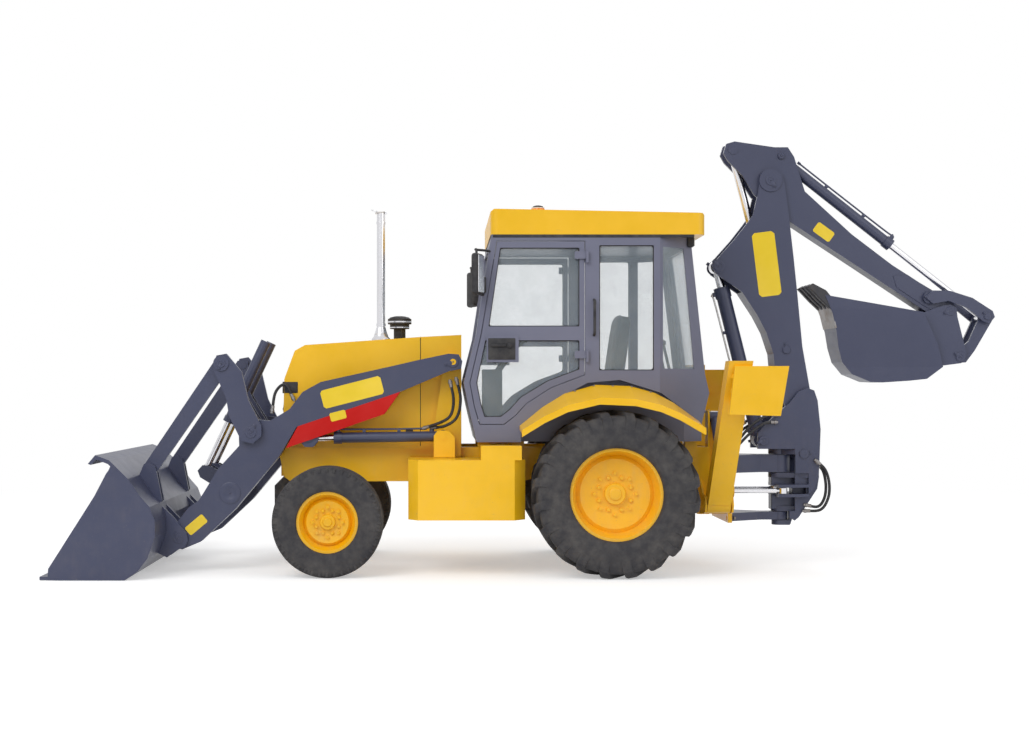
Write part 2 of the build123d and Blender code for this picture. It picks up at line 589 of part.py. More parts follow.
# ---------------------------------------------------------------- loader
def make_lift_arms():
    outline = [(-1300, 1761), (-1539, 1711), (-1750, 1662), (-2330, 1533), (-2475, 1453), (-2583, 1312),
               (-2741, 1219), (-2890, 1235), (-2990, 1160), (-2985, 1020), (-3150, 840), (-3309, 582), (-3395, 521),
               (-3540, 330), (-3530, 215), (-3443, 186), (-3295, 248), (-3020, 507), (-2661, 939), (-2523, 1174),
               (-1681, 1458), (-1300, 1620), (-1200, 1640), (-1190, 1700), (-1220, 1755)]
    arm = slab(outline, ARM_IN, ARM_OUT)
    arm += cross_pin(TORQUE_TUBE, 94, ARM_IN, ARM_OUT)
    ear = [(-2500, 1060), (-2460, 1010), (-2392, 1010), (-2350, 1060), (-2330, 1260), (-2520, 1190)]
    for low, high in ((ARM_IN + 16, ARM_IN + 30), (ARM_OUT - 30, ARM_OUT - 16)):
        arm += slab(ear, low, high)
    arm += cross_pin(LIFT_EYE, 52, ARM_OUT - 30, ARM_OUT - 16)
    arm -= cross_pin(ARM_PIN, 36 + PIN_PLAY, ARM_IN - 1, ARM_OUT + 1)
    arm -= cross_pin(ROCKER_PIN, 46 + PIN_PLAY, ARM_IN - 1, ARM_OUT + 1)
    arm -= cross_pin(BUCKET_PIN, 34 + PIN_PLAY, ARM_IN - 1, ARM_OUT + 1)
    arms = both(arm)
    arms += cross_pin(TORQUE_TUBE, 60, -ARM_IN, ARM_IN)
    ear = [(-3075, 570), (-3010, 600), (-3010, 690), (-3270, 838), (-3340, 845), (-3380, 800), (-3360, 745)]
    for low, high in ((TILT_Y - TILT_EAR[1], TILT_Y - TILT_EAR[0]), (TILT_Y + TILT_EAR[0], TILT_Y + TILT_EAR[1])):
        plate = slab(ear, low, high)
        arms += both(plate)
    keep("lift_arms", arms)


def arm_edge(x):
    """Height of the arm's lower edge between its shoulder and its elbow."""
    return 1458 + (x + 1681) * (1458 - 1174) / (2523 - 1681)


def make_safety_struts():
    """Red channel that hangs along the arm's lower edge."""
    drop = 1.2 * SEAT
    side = [(-1690, arm_edge(-1690) - drop), (-2515, arm_edge(-2515) - drop), (-2610, 1000), (-1819, 1274)]
    web = [(x, arm_edge(x) - below) for x, below in ((-1720, drop), (-2290, drop), (-2290, 16), (-1720, 16))]
    strut = slab(side, ARM_IN + SEAT, ARM_IN + 14)
    strut += slab(side, ARM_OUT - 14, ARM_OUT - SEAT)
    strut += slab(web, ARM_IN + SEAT, ARM_OUT - SEAT)
    keep("safety_struts", both(strut))


def make_rocker():
    top = (ROCKER_PIN[0] + BUCKET_LEVER[0], ROCKER_PIN[1] + BUCKET_LEVER[1])
    outline = [(-2800, 1100), (-2870, 1040), (-2960, 1060), (-3059, 1259), (-3083, 1408), (-3190, 1640),
               (-3160, 1745), (-3080, 1760), (-3030, 1700), (-2959, 1614), (-2905, 1388), (-2800, 1180)]
    rocker = pair(outline, ROCKER_IN, ROCKER_OUT)
    rocker += cross_pin(ROCKER_PIN, 46, -ROCKER_OUT, ROCKER_OUT)
    rocker += cross_pins(top, 30, LINK_IN - 6, ROCKER_IN)
    rocker += cross_pins(top, 62, ROCKER_OUT, ROCKER_OUT + 12)
    ear = [(-2850, 1060), (-2930, 1065), (-3085, 1400), (-3060, 1462), (-3000, 1460), (-2975, 1400), (-2835, 1170)]
    for low, high in ((TILT_Y - TILT_EAR[1], TILT_Y - TILT_EAR[0]), (TILT_Y + TILT_EAR[0], TILT_Y + TILT_EAR[1])):
        rocker += pair(ear, low, high)
        rocker -= cross_pins(TILT_TRUNNION, 26 + PIN_PLAY, low - 1, high + 1)
    keep("bucket_rocker", rocker)


def make_push_links():
    top = (ROCKER_PIN[0] + BUCKET_LEVER[0], ROCKER_PIN[1] + BUCKET_LEVER[1])
    low = (BUCKET_PIN[0] + BUCKET_LEVER[0], BUCKET_PIN[1] + BUCKET_LEVER[1])
    outline = [(top[0] + 40, top[1] + 40), (top[0] - 45, top[1] + 45), (low[0] - 50, low[1] + 30),
               (low[0] - 30, low[1] - 45), (low[0] + 50, low[1] - 30), (top[0] + 55, top[1] - 40)]
    link = slab(outline, LINK_IN, LINK_OUT)
    link -= cross_pin(top, 30 + PIN_PLAY, LINK_IN - 1, LINK_OUT + 1)
    link -= cross_pin(low, 30 + PIN_PLAY, LINK_IN - 1, LINK_OUT + 1)
    keep("push_links", both(link))


def make_bucket():
    half = OVERALL_W / 2
    outer = [(-4457, 5), (-4300, 0), (-3802, 0), (-3700, 70), (-3627, 168), (-3568, 333), (-3568, 458), (-3609, 567),
             (-3676, 642), (-3776, 784), (-3920, 926), (-4028, 967), (-4085, 900)]
    inner = [(-4457, 30), (-3815, 30), (-3725, 88), (-3652, 180), (-3594, 337), (-3594, 450), (-3632, 553),
             (-3697, 625), (-3796, 766), (-3930, 898), (-4022, 934), (-4064, 892)]
    shell_outline = outer + inner[::-1]
    shell = slab(shell_outline, -half + 1, half - 1)
    side = [(-4395, 20), (-3806, 12), (-3706, 78), (-3636, 172), (-3577, 335), (-3577, 455), (-3618, 560),
            (-3684, 636), (-3784, 778), (-3905, 897), (-3925, 850), (-3943, 826), (-4035, 650), (-4390, 91)]
    bucket = shell
    bucket += pair(side, half - 28, half)
    for low, high in ((ARM_IN - 33, ARM_IN - SIDE_PLAY), (ARM_OUT + SIDE_PLAY, ARM_OUT + 33)):
        hinge = [(-3620, 560), (-3500, 440), (-3405, 325), (-3392, 260), (-3420, 205), (-3470, 190), (-3560, 125),
                 (-3640, 165), (-3585, 330), (-3585, 455)]
        bucket += pair(hinge, low, high)
    lever_pin = (BUCKET_PIN[0] + BUCKET_LEVER[0], BUCKET_PIN[1] + BUCKET_LEVER[1])
    for low, high in ((LINK_IN - 30, LINK_IN - SIDE_PLAY), (LINK_OUT + SIDE_PLAY, LINK_OUT + 30)):
        lever = [(-3786, 775), (-3745, 875), (-3700, 887), (-3655, 862), (-3640, 800), (-3598, 585), (-3620, 560),
                 (-3686, 634)]
        bucket += pair(lever, low, high)
    bucket += cross_pins(BUCKET_PIN, 34, ARM_IN - 34, ARM_OUT + 34)
    bucket += cross_pins(lever_pin, 30, LINK_IN - 31, LINK_OUT + 31)
    keep("loader_bucket", bucket)


def make_loader_rams():
    keep("lift_barrels", both(ram_barrel(LIFT_BASE, LIFT_EYE, LIFT_Y, 880, 42, 28, 28, 29)))
    keep("lift_rods", both(ram_rod(LIFT_BASE, LIFT_EYE, LIFT_Y, 120, 28, 28, 29)))
    start = along(TILT_TRUNNION, TILT_EYE, 237)
    top = along(TILT_TRUNNION, TILT_EYE, -505)
    tube = rod_between(top, start, 42, TILT_Y)
    tube += rod_between(along(TILT_TRUNNION, TILT_EYE, 190), start, 48, TILT_Y)
    for sign in (-1, 1):
        tube += cross_pin(TILT_TRUNNION, 26, TILT_Y + sign * 30, TILT_Y + sign * 70)
    tube -= rod_between(along(TILT_TRUNNION, TILT_EYE, -490), along(TILT_TRUNNION, TILT_EYE, 240), 25.5, TILT_Y)
    keep("tilt_barrels", both(tube))
    rod = rod_between(along(TILT_TRUNNION, TILT_EYE, -60), along(TILT_EYE, TILT_TRUNNION, 30), 25, TILT_Y)
    half = TILT_EAR[0] - SIDE_PLAY
    rod += cross_pin(TILT_EYE, 42, TILT_Y - half, TILT_Y + half)
    rod -= cross_pin(TILT_EYE, 22, TILT_Y - half - 1, TILT_Y + half + 1)
    keep("tilt_rods", both(rod))


# ---------------------------------------------------------------- backhoe
def make_swing_post():
    """Cheeks and ears that swing on the two kingpins and carry the boom."""
    full = KING_X + POST_BODY
    cheek = [(1290, UPPER_LUG[1] + 51), (1604, UPPER_LUG[1] + 51), (1604, 772), (full, 772), (full, 600), (1751, 623),
             (1799, 733), (1805, 877), (1815, 1139), (1790, 1380), (1761, 1465), (1700, 1486), (1630, 1455),
             (1560, 1365), (1400, 1225), (1290, 1110)]
    shape = pair(cheek, POST_IN, POST_OUT)
    web = [(1600, LOWER_LUG[1] + 5), (1640, 510), (1751, 623), (1775, 700), (1775, 760), (1600, 772)]
    shape += slab(web, -60, 60)
    shape += slab([(full, 600), (1751, 623), (1775, 700), (1775, 772), (full, 772)], -POST_OUT, POST_OUT)
    ears = [  # low, high, boss radius, reach back from the kingpin, half width there
        (UPPER_LUG[1] + 5, UPPER_LUG[1] + 46, 88, 104, POST_OUT),
        (UPPER_LUG[0] - 45, UPPER_LUG[0] - 5, 88, POST_BODY + 40, POST_OUT),
        (LOWER_LUG[1] + 5, LOWER_LUG[1] + 48, 66, 130, 90),
        (LOWER_LUG[0] - 45, LOWER_LUG[0] - 5, 60, 80, 60),
    ]
    for low, high, boss, reach, half in ears:
        plan = [(KING_X, -boss), (KING_X + reach, -half), (KING_X + reach, half), (KING_X, boss)]
        ear = extrude(Plane.XY.offset(low) * make_face(Polyline(*plan, close=True)), high - low)
        ear += post(KING_X, 0, low, high, boss)
        shape += ear
    shape += slab([(1560, LOWER_LUG[0] - 45), (1585, LOWER_LUG[0] - 40), (1640, 510), (1600, 490),
                   (KING_X + 76, 445), (KING_X + 76, LOWER_LUG[0] - 5)], -60, 60)
    shape += block(KING_X + 100, 1604, -POST_OUT, POST_OUT, UPPER_LUG[1] + 5, UPPER_LUG[1] + 46)
    horn_y = SWING_ROD_Y + 45
    for low in (SWING_ROD_Z - 52, SWING_ROD_Z + 27):
        plan = [(KING_X - 45, -horn_y), (KING_X + 45, -horn_y), (full, -POST_OUT), (full + 20, -60), (full + 20, 60),
                (full, POST_OUT), (KING_X + 45, horn_y), (KING_X - 45, horn_y)]
        shape += extrude(Plane.XY.offset(low) * make_face(Polyline(*plan, close=True)), 25)
    for pin in (BOOM_FOOT, BOOM_RAM_BASE):
        shape += cross_pin(pin, 36, -POST_OUT - 12, POST_OUT + 12)
    for low, high, boss, reach, half in ears:
        shape -= post(KING_X, 0, low - 1, high + 1, 40 + PIN_PLAY)
    keep("swing_post", shape)


def make_swing_rods():
    start = SWING_ROD_IN
    for sign, side in ((-1, "left"), (1, "right")):
        y = sign * SWING_ROD_Y
        rod = Pos((start + KING_X - 20) / 2, y, SWING_ROD_Z) * Rot(0, 90, 0) * Cylinder(SWING_BAR_R, KING_X - 20 - start)
        rod += post(KING_X, y, SWING_ROD_Z - 22, SWING_ROD_Z + 22, SWING_EYE_R)
        rod -= post(KING_X, y, SWING_ROD_Z - 23, SWING_ROD_Z + 23, 20)
        keep(f"swing_rod_{side}", rod)


def make_boom():
    web = [(1614, 933), (1630, 893), (1674, 873), (1718, 893), (1734, 933), (1748, 1400), (1672, 1831), (1626, 2313), (1599, 2575),
           (1558, 2938), (1526, 3180), (1500, 3290), (1405, 3325), (1320, 3280), (1300, 3120), (1258, 2938),
           (1219, 2881), (1106, 2736), (977, 2590), (925, 2530), (940, 2450), (1167, 2290), (1295, 2094),
           (1370, 1951), (1430, 1770), (1445, 1600), (1500, 1450)]
    boom = pair(web, BOOM_IN, BOOM_OUT)
    rear_flange = [(1748, 1400), (1672, 1831), (1626, 2313), (1599, 2575), (1569, 2840),
                   (1544, 2838), (1574, 2573), (1601, 2311), (1647, 1829), (1722, 1400)]
    boom += slab(rear_flange, -BOOM_IN, BOOM_IN)
    front_flange = [(1167, 2290), (1295, 2094), (1370, 1951), (1430, 1770), (1445, 1600), (1470, 1605),
                    (1455, 1775), (1392, 1961), (1316, 2107), (1187, 2305)]
    boom += slab(front_flange, -BOOM_IN, BOOM_IN)
    boom -= cross_pin(BOOM_FOOT, 36 + PIN_PLAY, -BOOM_OUT - 1, BOOM_OUT + 1)
    boom += cross_pin(DIPPER_PIN, 36, -BOOM_OUT - 14, BOOM_OUT + 14)
    boom += cross_pins(DIPPER_PIN, 95, BOOM_OUT, BOOM_OUT + 10)
    boom += cross_pin(CROWD_BASE, 30, -BOOM_OUT - 14, BOOM_OUT + 14)
    boom += cross_pins(BOOM_RAM_EYE, 58, BOOM_OUT, BOOM_OUT + 10)
    boom += cross_pins(BOOM_RAM_EYE, 34, 55, BOOM_OUT)
    keep("boom", boom)


def make_dipper():
    outline = [(1016, 3462), (1050, 3400), (1179, 3269), (1275, 3110), (1450, 2950), (1566, 2889), (2095, 2541),
               (2699, 2142), (2860, 2062), (2960, 2075), (2990, 2150), (2940, 2210), (2811, 2285), (2657, 2377),
               (2433, 2521), (2095, 2778), (1700, 3140), (1610, 3430), (1558, 3511), (1444, 3511), (1110, 3560),
               (1040, 3540)]
    dipper = slab(outline, -DIPPER_OUT, DIPPER_OUT)
    slot = [(900, 3700), (900, 3100), (1275, 3000), (1490, 2850), (1530, 3050), (1560, 3290), (1760, 3140),
            (1900, 3250), (1900, 3700)]
    dipper -= slab(slot, -DIPPER_IN, DIPPER_IN)
    dipper += cross_pin(DIPPER_PIN, 75, -DIPPER_OUT, DIPPER_OUT)
    dipper -= cross_pin(DIPPER_PIN, 36 + PIN_PLAY, -DIPPER_OUT - 1, DIPPER_OUT + 1)
    dipper -= cross_pin(HOE_PIN, 32 + PIN_PLAY, -DIPPER_OUT - 1, DIPPER_OUT + 1)
    dipper += cross_pin(HOE_RAM_BASE, 30, -DIPPER_OUT - 12, DIPPER_OUT + 12)
    dipper += cross_pin(IDLER_PIN, 30, -IDLER_OUT - 4, IDLER_OUT + 4)
    dipper += cross_pin(IDLER_PIN, 52, -IDLER_IN + 2, IDLER_IN - 2)
    dipper += cross_pins(CROWD_EYE, 28, 49, DIPPER_OUT)
    dipper += cross_pins(CROWD_EYE, 45, DIPPER_OUT, DIPPER_OUT + 5)
    keep("dipper", dipper)


def make_hoe_linkage():
    idler = [(IDLER_PIN[0] - 50, IDLER_PIN[1] + 5), (2760, 2302), (2900, 2300), (3090, 2240), (3260, 2130),
             (3278, 2080), (3235, 2027), (3180, 2045), (3040, 2160), (2890, 2215), (2760, 2192)]
    link = slab(idler, IDLER_IN, IDLER_OUT)
    link -= cross_pin(IDLER_PIN, 30 + PIN_PLAY, IDLER_IN - 1, IDLER_OUT + 1)
    link += cross_pin(COUPLER_TOP, 28, DIPPER_IN + 2, IDLER_OUT + 10)
    keep("idler_links", both(link))
    x, z = COUPLER_TOP
    coupler = [(x - 40, z + 50), (x + 48, z + 45), (x + 60, z - 30), (3130, 1800), (3055, 1700), (2960, 1695),
               (2945, 1770), (3000, 1810), (3080, 1880), (x - 60, z - 30)]
    body = pair(coupler, DIPPER_IN + 4, DIPPER_OUT)
    body -= cross_pin(COUPLER_TOP, 28 + PIN_PLAY, -200, 200)
    web = [(3000, 1800), (3070, 1860), (3110, 1800), (3050, 1720), (2990, 1720)]
    body += slab(web, -DIPPER_IN - 4, DIPPER_IN + 4)
    keep("coupler_link", body)


def hoe_wedge(inset):
    """Full-height prism that narrows from the bucket's mouth to its heel."""
    mouth, heel = HOE_MOUTH_HALF - inset, HOE_HEEL_HALF - inset
    outline = [(-mouth, 2400), (-mouth, 2150), (-heel, 1660), (-heel, 1400),
               (heel, 1400), (heel, 1660), (mouth, 2150), (mouth, 2400)]
    return yz_plate(outline, 1600, 3200)


def make_hoe_bucket():
    outer = [(1840, 2262), (1905, 2110), (1940, 1958), (1960, 1820), (1993, 1700), (2075, 1600), (2230, 1536),
             (2331, 1531), (2551, 1545), (2703, 1561), (2838, 1662), (2790, 1850), (2661, 2119)]
    inner = [(1862, 2268), (1928, 2118), (1963, 1963), (1983, 1826), (2013, 1712), (2088, 1622), (2236, 1560),
             (2334, 1555), (2549, 1569), (2693, 1585), (2811, 1672), (2767, 1845), (2639, 2110), (2500, 2400),
             (1862, 2400)]
    bucket = slab(outer, -300, 300) & hoe_wedge(0)
    bucket -= slab(inner, -300, 300) & hoe_wedge(HOE_WALL)
    ear = [(2640, 2100), (2800, 2160), (2862, 2178), (2914, 2185), (2966, 2160), (2975, 2080), (3050, 1780),
           (3048, 1710), (2999, 1692), (2830, 1670), (2775, 1845)]
    bucket += pair(ear, HOE_EAR_IN, HOE_EAR_OUT)
    bucket += cross_pin(HOE_PIN, 32, -HOE_EAR_OUT - 5, HOE_EAR_OUT + 5)
    bucket += cross_pins(COUPLER_LOW, 44, HOE_EAR_OUT - 2, HOE_EAR_OUT + 5)
    for i in range(HOE_TEETH):
        y = (i - (HOE_TEETH - 1) / 2) * (2 * HOE_MOUTH_HALF - 70) / (HOE_TEETH - 1)
        bucket += slab([(1700, 2335), (1714, 2327), (1895, 2135), (1905, 2160), (1850, 2262)], y - 28, y + 28)
    keep("hoe_bucket", bucket)


def make_hoe_rams():
    keep("boom_barrel", ram_barrel(BOOM_RAM_BASE, BOOM_RAM_EYE, 0, 1330, 60, 35, 36, 60))
    keep("boom_rod", ram_rod(BOOM_RAM_BASE, BOOM_RAM_EYE, 0, 700, 35, 34, 50))
    keep("crowd_barrel", ram_barrel(CROWD_BASE, CROWD_EYE, 0, 930, 50, 32, 30, 50))
    keep("crowd_rod", ram_rod(CROWD_BASE, CROWD_EYE, 0, 800, 32, 28, 44))
    keep("hoe_ram_barrel", ram_barrel(HOE_RAM_BASE, COUPLER_TOP, 0, 1204, 44, 28, 30, 48))
    keep("hoe_ram_rod", ram_rod(HOE_RAM_BASE, COUPLER_TOP, 0, 1060, 28, 28, 42))


# ---------------------------------------------------------------- stabilizers
def stab_leg_point(share):
    """(y, z) on the leg's middle line, from the pin (0) to the upper end (1)."""
    return (STAB_PIN[0] + (STAB_TOP[0] - STAB_PIN[0]) * share, STAB_PIN[1] + (STAB_TOP[1] - STAB_PIN[1]) * share)


def stab_section(share, wide, deep):
    """Rectangular section of the leg, square to the Z axis, at a share of its length."""
    y, z = stab_leg_point(share)
    x = STAB_X[0] + (STAB_X[1] - STAB_X[0]) * share
    return Pos(x, y, z) * Rectangle(wide, deep)


def stab_box(low, high, wide, deep, shift=0.0):
    """Straight run of the leg between two shares of its length."""
    return Pos(0, shift, 0) * loft([stab_section(low, wide, deep), stab_section(high, wide, deep)], ruled=True)


def make_stabilizers():
    deep = STAB_LEG_D * 1.073
    leg = stab_box(0.0, 1.05, STAB_LEG_W, deep)
    leg += Pos(STAB_X[0], *STAB_PIN) * Rot(0, 90, 0) * Cylinder(70, STAB_LEG_W)
    leg -= stab_box(0.1, 0.98, STAB_LEG_W - 2 * STAB_WALL, deep, -STAB_WALL)
    leg -= x_pin(STAB_PIN, STAB_PIN_R + PIN_PLAY, 700, 1100)
    eye_x = STAB_RAM_X
    for x0, x1 in ((eye_x - 95, eye_x - 42 - SIDE_PLAY), (eye_x + 42 + SIDE_PLAY, eye_x + 75)):
        leg += x_pin(STAB_RAM_EYE, 24, x0, x1)
    pad = [(860, 1280), (905, 1654), (1322, 1654), (1257, 1269)]
    plate = slab(pad, PAD_OUT - PAD_T, PAD_OUT)
    plate += slab([(880, 1450), (883, 1480), (1290, 1480), (1286, 1450)], PAD_OUT - PAD_T - 25, PAD_OUT - PAD_T)
    for z in (1360, 1560):
        plate += block(890, 1030, 960, PAD_OUT - PAD_T + 1, z, z + 30)
    leg += plate - stab_box(0.1, 0.98, STAB_LEG_W - 2 * STAB_WALL, deep, -STAB_WALL)
    base, eye = STAB_RAM_BASE, STAB_RAM_EYE
    turn = Pos(STAB_RAM_X, 0, 0) * Rot(0, 0, 90)
    barrel = turn * ram_barrel(base, eye, 0, 470, 38, 22, 24, 42)
    rod = turn * ram_rod(base, eye, 0, 100, 22, 24, 42)
    for side in ("left", "right"):
        place = (lambda shape: mirror(shape, Plane.XZ)) if side == "left" else (lambda shape: shape)
        keep(f"stabilizer_leg_{side}", place(leg))
        keep(f"stabilizer_barrel_{side}", place(barrel))
        keep(f"stabilizer_rod_{side}", place(rod))


def main():
    make_wheels()
    make_axles()
    make_frame()
    make_swing_frame()
    make_nose_weight()
    make_boxes()
    make_engine()
    make_hood()
    make_cab()
    make_cab_glass()
    make_doors()
    make_roof()
    make_fenders()
    make_interior()
    make_lift_arms()
    make_safety_struts()
    make_rocker()
    make_push_links()
    make_bucket()
    make_loader_rams()
    make_swing_post()
    make_swing_rods()
    make_boom()
    make_dipper()
    make_hoe_linkage()
    make_hoe_bucket()
    make_hoe_rams()
    make_stabilizers()
    os.makedirs("parts", exist_ok=True)
    for name, shape in PARTS.items():
        export_step(shape, f"parts/{name}.step")


if __name__ == "__main__":
    main()
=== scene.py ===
"""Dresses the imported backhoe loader: finishes, tyres, hoses, glass seals, fittings, lights and camera."""
import json
import logging
import math
from dataclasses import Field, dataclass, field
from enum import Enum

import bmesh
import bpy
import numpy as np
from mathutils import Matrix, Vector


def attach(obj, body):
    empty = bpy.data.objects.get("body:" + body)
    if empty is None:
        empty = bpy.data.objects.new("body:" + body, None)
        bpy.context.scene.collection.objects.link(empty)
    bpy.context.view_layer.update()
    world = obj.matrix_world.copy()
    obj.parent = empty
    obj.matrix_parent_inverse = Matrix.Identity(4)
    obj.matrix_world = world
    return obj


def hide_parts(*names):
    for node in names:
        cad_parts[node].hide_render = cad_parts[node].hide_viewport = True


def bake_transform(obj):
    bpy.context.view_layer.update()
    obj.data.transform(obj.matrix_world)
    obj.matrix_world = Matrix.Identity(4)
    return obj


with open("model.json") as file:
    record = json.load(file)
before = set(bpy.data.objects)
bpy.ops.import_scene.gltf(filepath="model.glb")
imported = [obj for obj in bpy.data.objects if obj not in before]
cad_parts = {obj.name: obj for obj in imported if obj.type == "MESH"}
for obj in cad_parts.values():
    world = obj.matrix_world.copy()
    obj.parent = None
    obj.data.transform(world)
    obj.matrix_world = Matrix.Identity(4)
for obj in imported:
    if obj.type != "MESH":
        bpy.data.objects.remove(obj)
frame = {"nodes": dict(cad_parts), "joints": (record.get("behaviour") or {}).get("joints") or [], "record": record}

log = logging.getLogger("loader_scene")
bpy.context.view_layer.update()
JOINTS = {joint["name"]: joint for joint in frame["joints"]}
RGB = tuple[float, float, float]
Place = tuple[float, float, float]
Outline = tuple[tuple[float, float], ...]
Socket = bpy.types.NodeSocket
Material = bpy.types.Material
REAR_AXLE_X = 589.5
OUTSIDE = 1900.0


class Slot(Enum):
    """The record's material slots, which the CAD nodes take their finish from."""

    YELLOW = "body_yellow"
    SLATE = "arm_slate"
    GREY = "cab_grey"
    WHEEL = "wheel_yellow"
    RED = "safety_red"
    CAST = "cast_dark"
    CHROME = "chrome"
    STEEL = "steel"
    TYRE = "tyre"
    GLASS = "glass"
    LENS = "lamp_lens"
    PLASTIC = "black_plastic"
    VINYL = "seat_vinyl"


class Side(Enum):
    """The machine's two sides, with the sign of Y on each."""

    LEFT = -1.0
    RIGHT = 1.0

    @property
    def word(self) -> str:
        """The side's name in lower case."""
        return self.name.lower()


def pin_of(joint: str) -> np.ndarray:
    """A joint's pivot at rest.

    Args:
        joint: name of a joint of the frame.
    Returns:
        its position in metres.
    """
    return np.array(JOINTS[joint]["pos_m"], dtype=float)


def at(x: float, y: float, z: float) -> np.ndarray:
    """A place in the frame's metres.

    Args:
        x: millimetres behind the rear axle.
        y: millimetres to the right of the middle.
        z: millimetres above the ground.
    Returns:
        the place as an array.
    """
    return np.array([x + REAR_AXLE_X, y, z]) / 1000


def metres(outline: Outline | list) -> list[tuple[float, float]]:
    """An (x, z) outline in the frame's metres.

    Args:
        outline: (x, z) points in millimetres, x behind the rear axle.
    Returns:
        the same points in metres.
    """
    return [((x + REAR_AXLE_X) / 1000, z / 1000) for x, z in outline]


def meets(node: str, start: np.ndarray, way: Place) -> np.ndarray:
    """Where a straight line first meets a CAD node, so that a fitting sits on it. A line that slips through
    between two triangles is tried again a fraction of a millimetre aside.

    Args:
        node: the node's name.
        start: where the line begins, outside the node.
        way: its direction.
    Returns:
        the place on the node's face.
    """
    piece = frame["nodes"][node]
    back = piece.matrix_world.inverted()
    for shift in (0.0, 0.0007, -0.0011, 0.0017):
        aside = Vector(start) + Vector((shift, shift, shift * 0.7))
        hit, place, _, _ = piece.ray_cast(back @ aside, back.to_3x3() @ Vector(way))
        if hit:
            return np.array(piece.matrix_world @ place)
    raise ValueError(f"{node} isn't met from {start} along {way}")


# ---------------------------------------------------------------- mesh building
def grid_faces(rows: int, columns: int, close_rows: bool, close_columns: bool) -> np.ndarray:
    """Quads of a grid of points numbered row by row.

    Args:
        rows: number of rows of points.
        columns: number of points in a row.
        close_rows: whether the last row joins the first.
        close_columns: whether the last column joins the first.
    Returns:
        an array of quads, four point numbers each.
    """
    i = np.arange(rows if close_rows else rows - 1)[:, None]
    j = np.arange(columns if close_columns else columns - 1)[None, :]
    k, m = (i + 1) % rows, (j + 1) % columns
    quads = np.stack([i * columns + j, i * columns + m, k * columns + m, k * columns + j], axis=-1)
    return quads.reshape(-1, 4)


@dataclass
class Surface:
    """Points and faces in the making; several surfaces add up to one piece."""

    points: list[np.ndarray] = field(default_factory=list)
    faces: list[list[int]] = field(default_factory=list)
    count: int = 0

    def add(self, points: np.ndarray, faces: np.ndarray | list) -> "Surface":
        """Adds points and the faces that number them.

        Args:
            points: an array of points, three values each.
            faces: faces as point numbers, counted from this array's first point.
        Returns:
            this surface.
        """
        self.points.append(np.asarray(points, dtype=float).reshape(-1, 3))
        self.faces += [[int(n) + self.count for n in face] for face in faces]
        self.count += len(self.points[-1])
        return self

    def put(self, name: str, body: str | None, slot: Slot, material: Material,
            smooth_angle: float = 35.0) -> bpy.types.Object:
        """Makes the mesh object, joins coinciding points and rides it on a body.

        Args:
            name: the piece's name.
            body: the CAD body that it moves with, or None to leave it on no body.
            slot: not used; the finish comes from the material.
            material: its material.
            smooth_angle: edges sharper than this, in degrees, stay sharp.
        Returns:
            the new object.
        """
        mesh = bpy.data.meshes.new(name)
        mesh.from_pydata(np.concatenate(self.points).tolist(), [], self.faces)
        tidy_mesh(mesh)
        mesh.set_sharp_from_angle(angle=math.radians(smooth_angle))
        mesh.materials.append(material)
        piece = bpy.data.objects.new(name, mesh)
        bpy.context.scene.collection.objects.link(piece)
        if body is not None:
            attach(piece, body)
        return piece


def tidy_mesh(mesh: bpy.types.Mesh) -> None:
    """Merges coinciding points, drops empty faces and turns the normals outwards.

    Args:
        mesh: the mesh to tidy in place.
    """
    work = bmesh.new()
    work.from_mesh(mesh)
    bmesh.ops.remove_doubles(work, verts=work.verts, dist=1e-5)
    bmesh.ops.dissolve_degenerate(work, dist=1e-6, edges=work.edges)
    bmesh.ops.recalc_face_normals(work, faces=work.faces)
    for face in work.faces:
        face.smooth = True
    work.to_mesh(mesh)
    work.free()


def basis(direction: np.ndarray) -> tuple[np.ndarray, np.ndarray, np.ndarray]:
    """Two unit vectors square to a direction, and the direction itself.

    Args:
        direction: any vector.
    Returns:
        side, up and the unit direction, right-handed.
    """
    w = np.asarray(direction, dtype=float)
    w = w / np.linalg.norm(w)
    helper = np.array([0.0, 0.0, 1.0]) if abs(w[2]) < 0.9 else np.array([1.0, 0.0, 0.0])
    u = np.cross(helper, w)
    u = u / np.linalg.norm(u)
    return u, np.cross(w, u), w


def lathe(surface: Surface, centre: np.ndarray, axis: np.ndarray, profile: list[tuple[float, float]],
          segments: int = 32) -> Surface:
    """Adds a turned form: each profile point (radius, distance along the axis) sweeps a full circle,
    point = centre + axis * distance + (side * cos(a) + up * sin(a)) * radius.

    Args:
        surface: the surface to add to.
        centre: where the axis distance is zero.
        axis: the axis of the turned form.
        profile: (radius, distance) points, in order along the outline.
        segments: number of steps round the circle.
    Returns:
        the surface.
    """
    u, v, w = basis(axis)
    a = np.linspace(0, 2 * np.pi, segments, endpoint=False)
    ring = np.cos(a)[:, None] * u + np.sin(a)[:, None] * v
    r = np.array([p[0] for p in profile])[:, None, None]
    d = np.array([p[1] for p in profile])[:, None, None]
    points = np.asarray(centre) + d * w + r * ring[None]
    return surface.add(points, grid_faces(len(profile), segments, False, True))


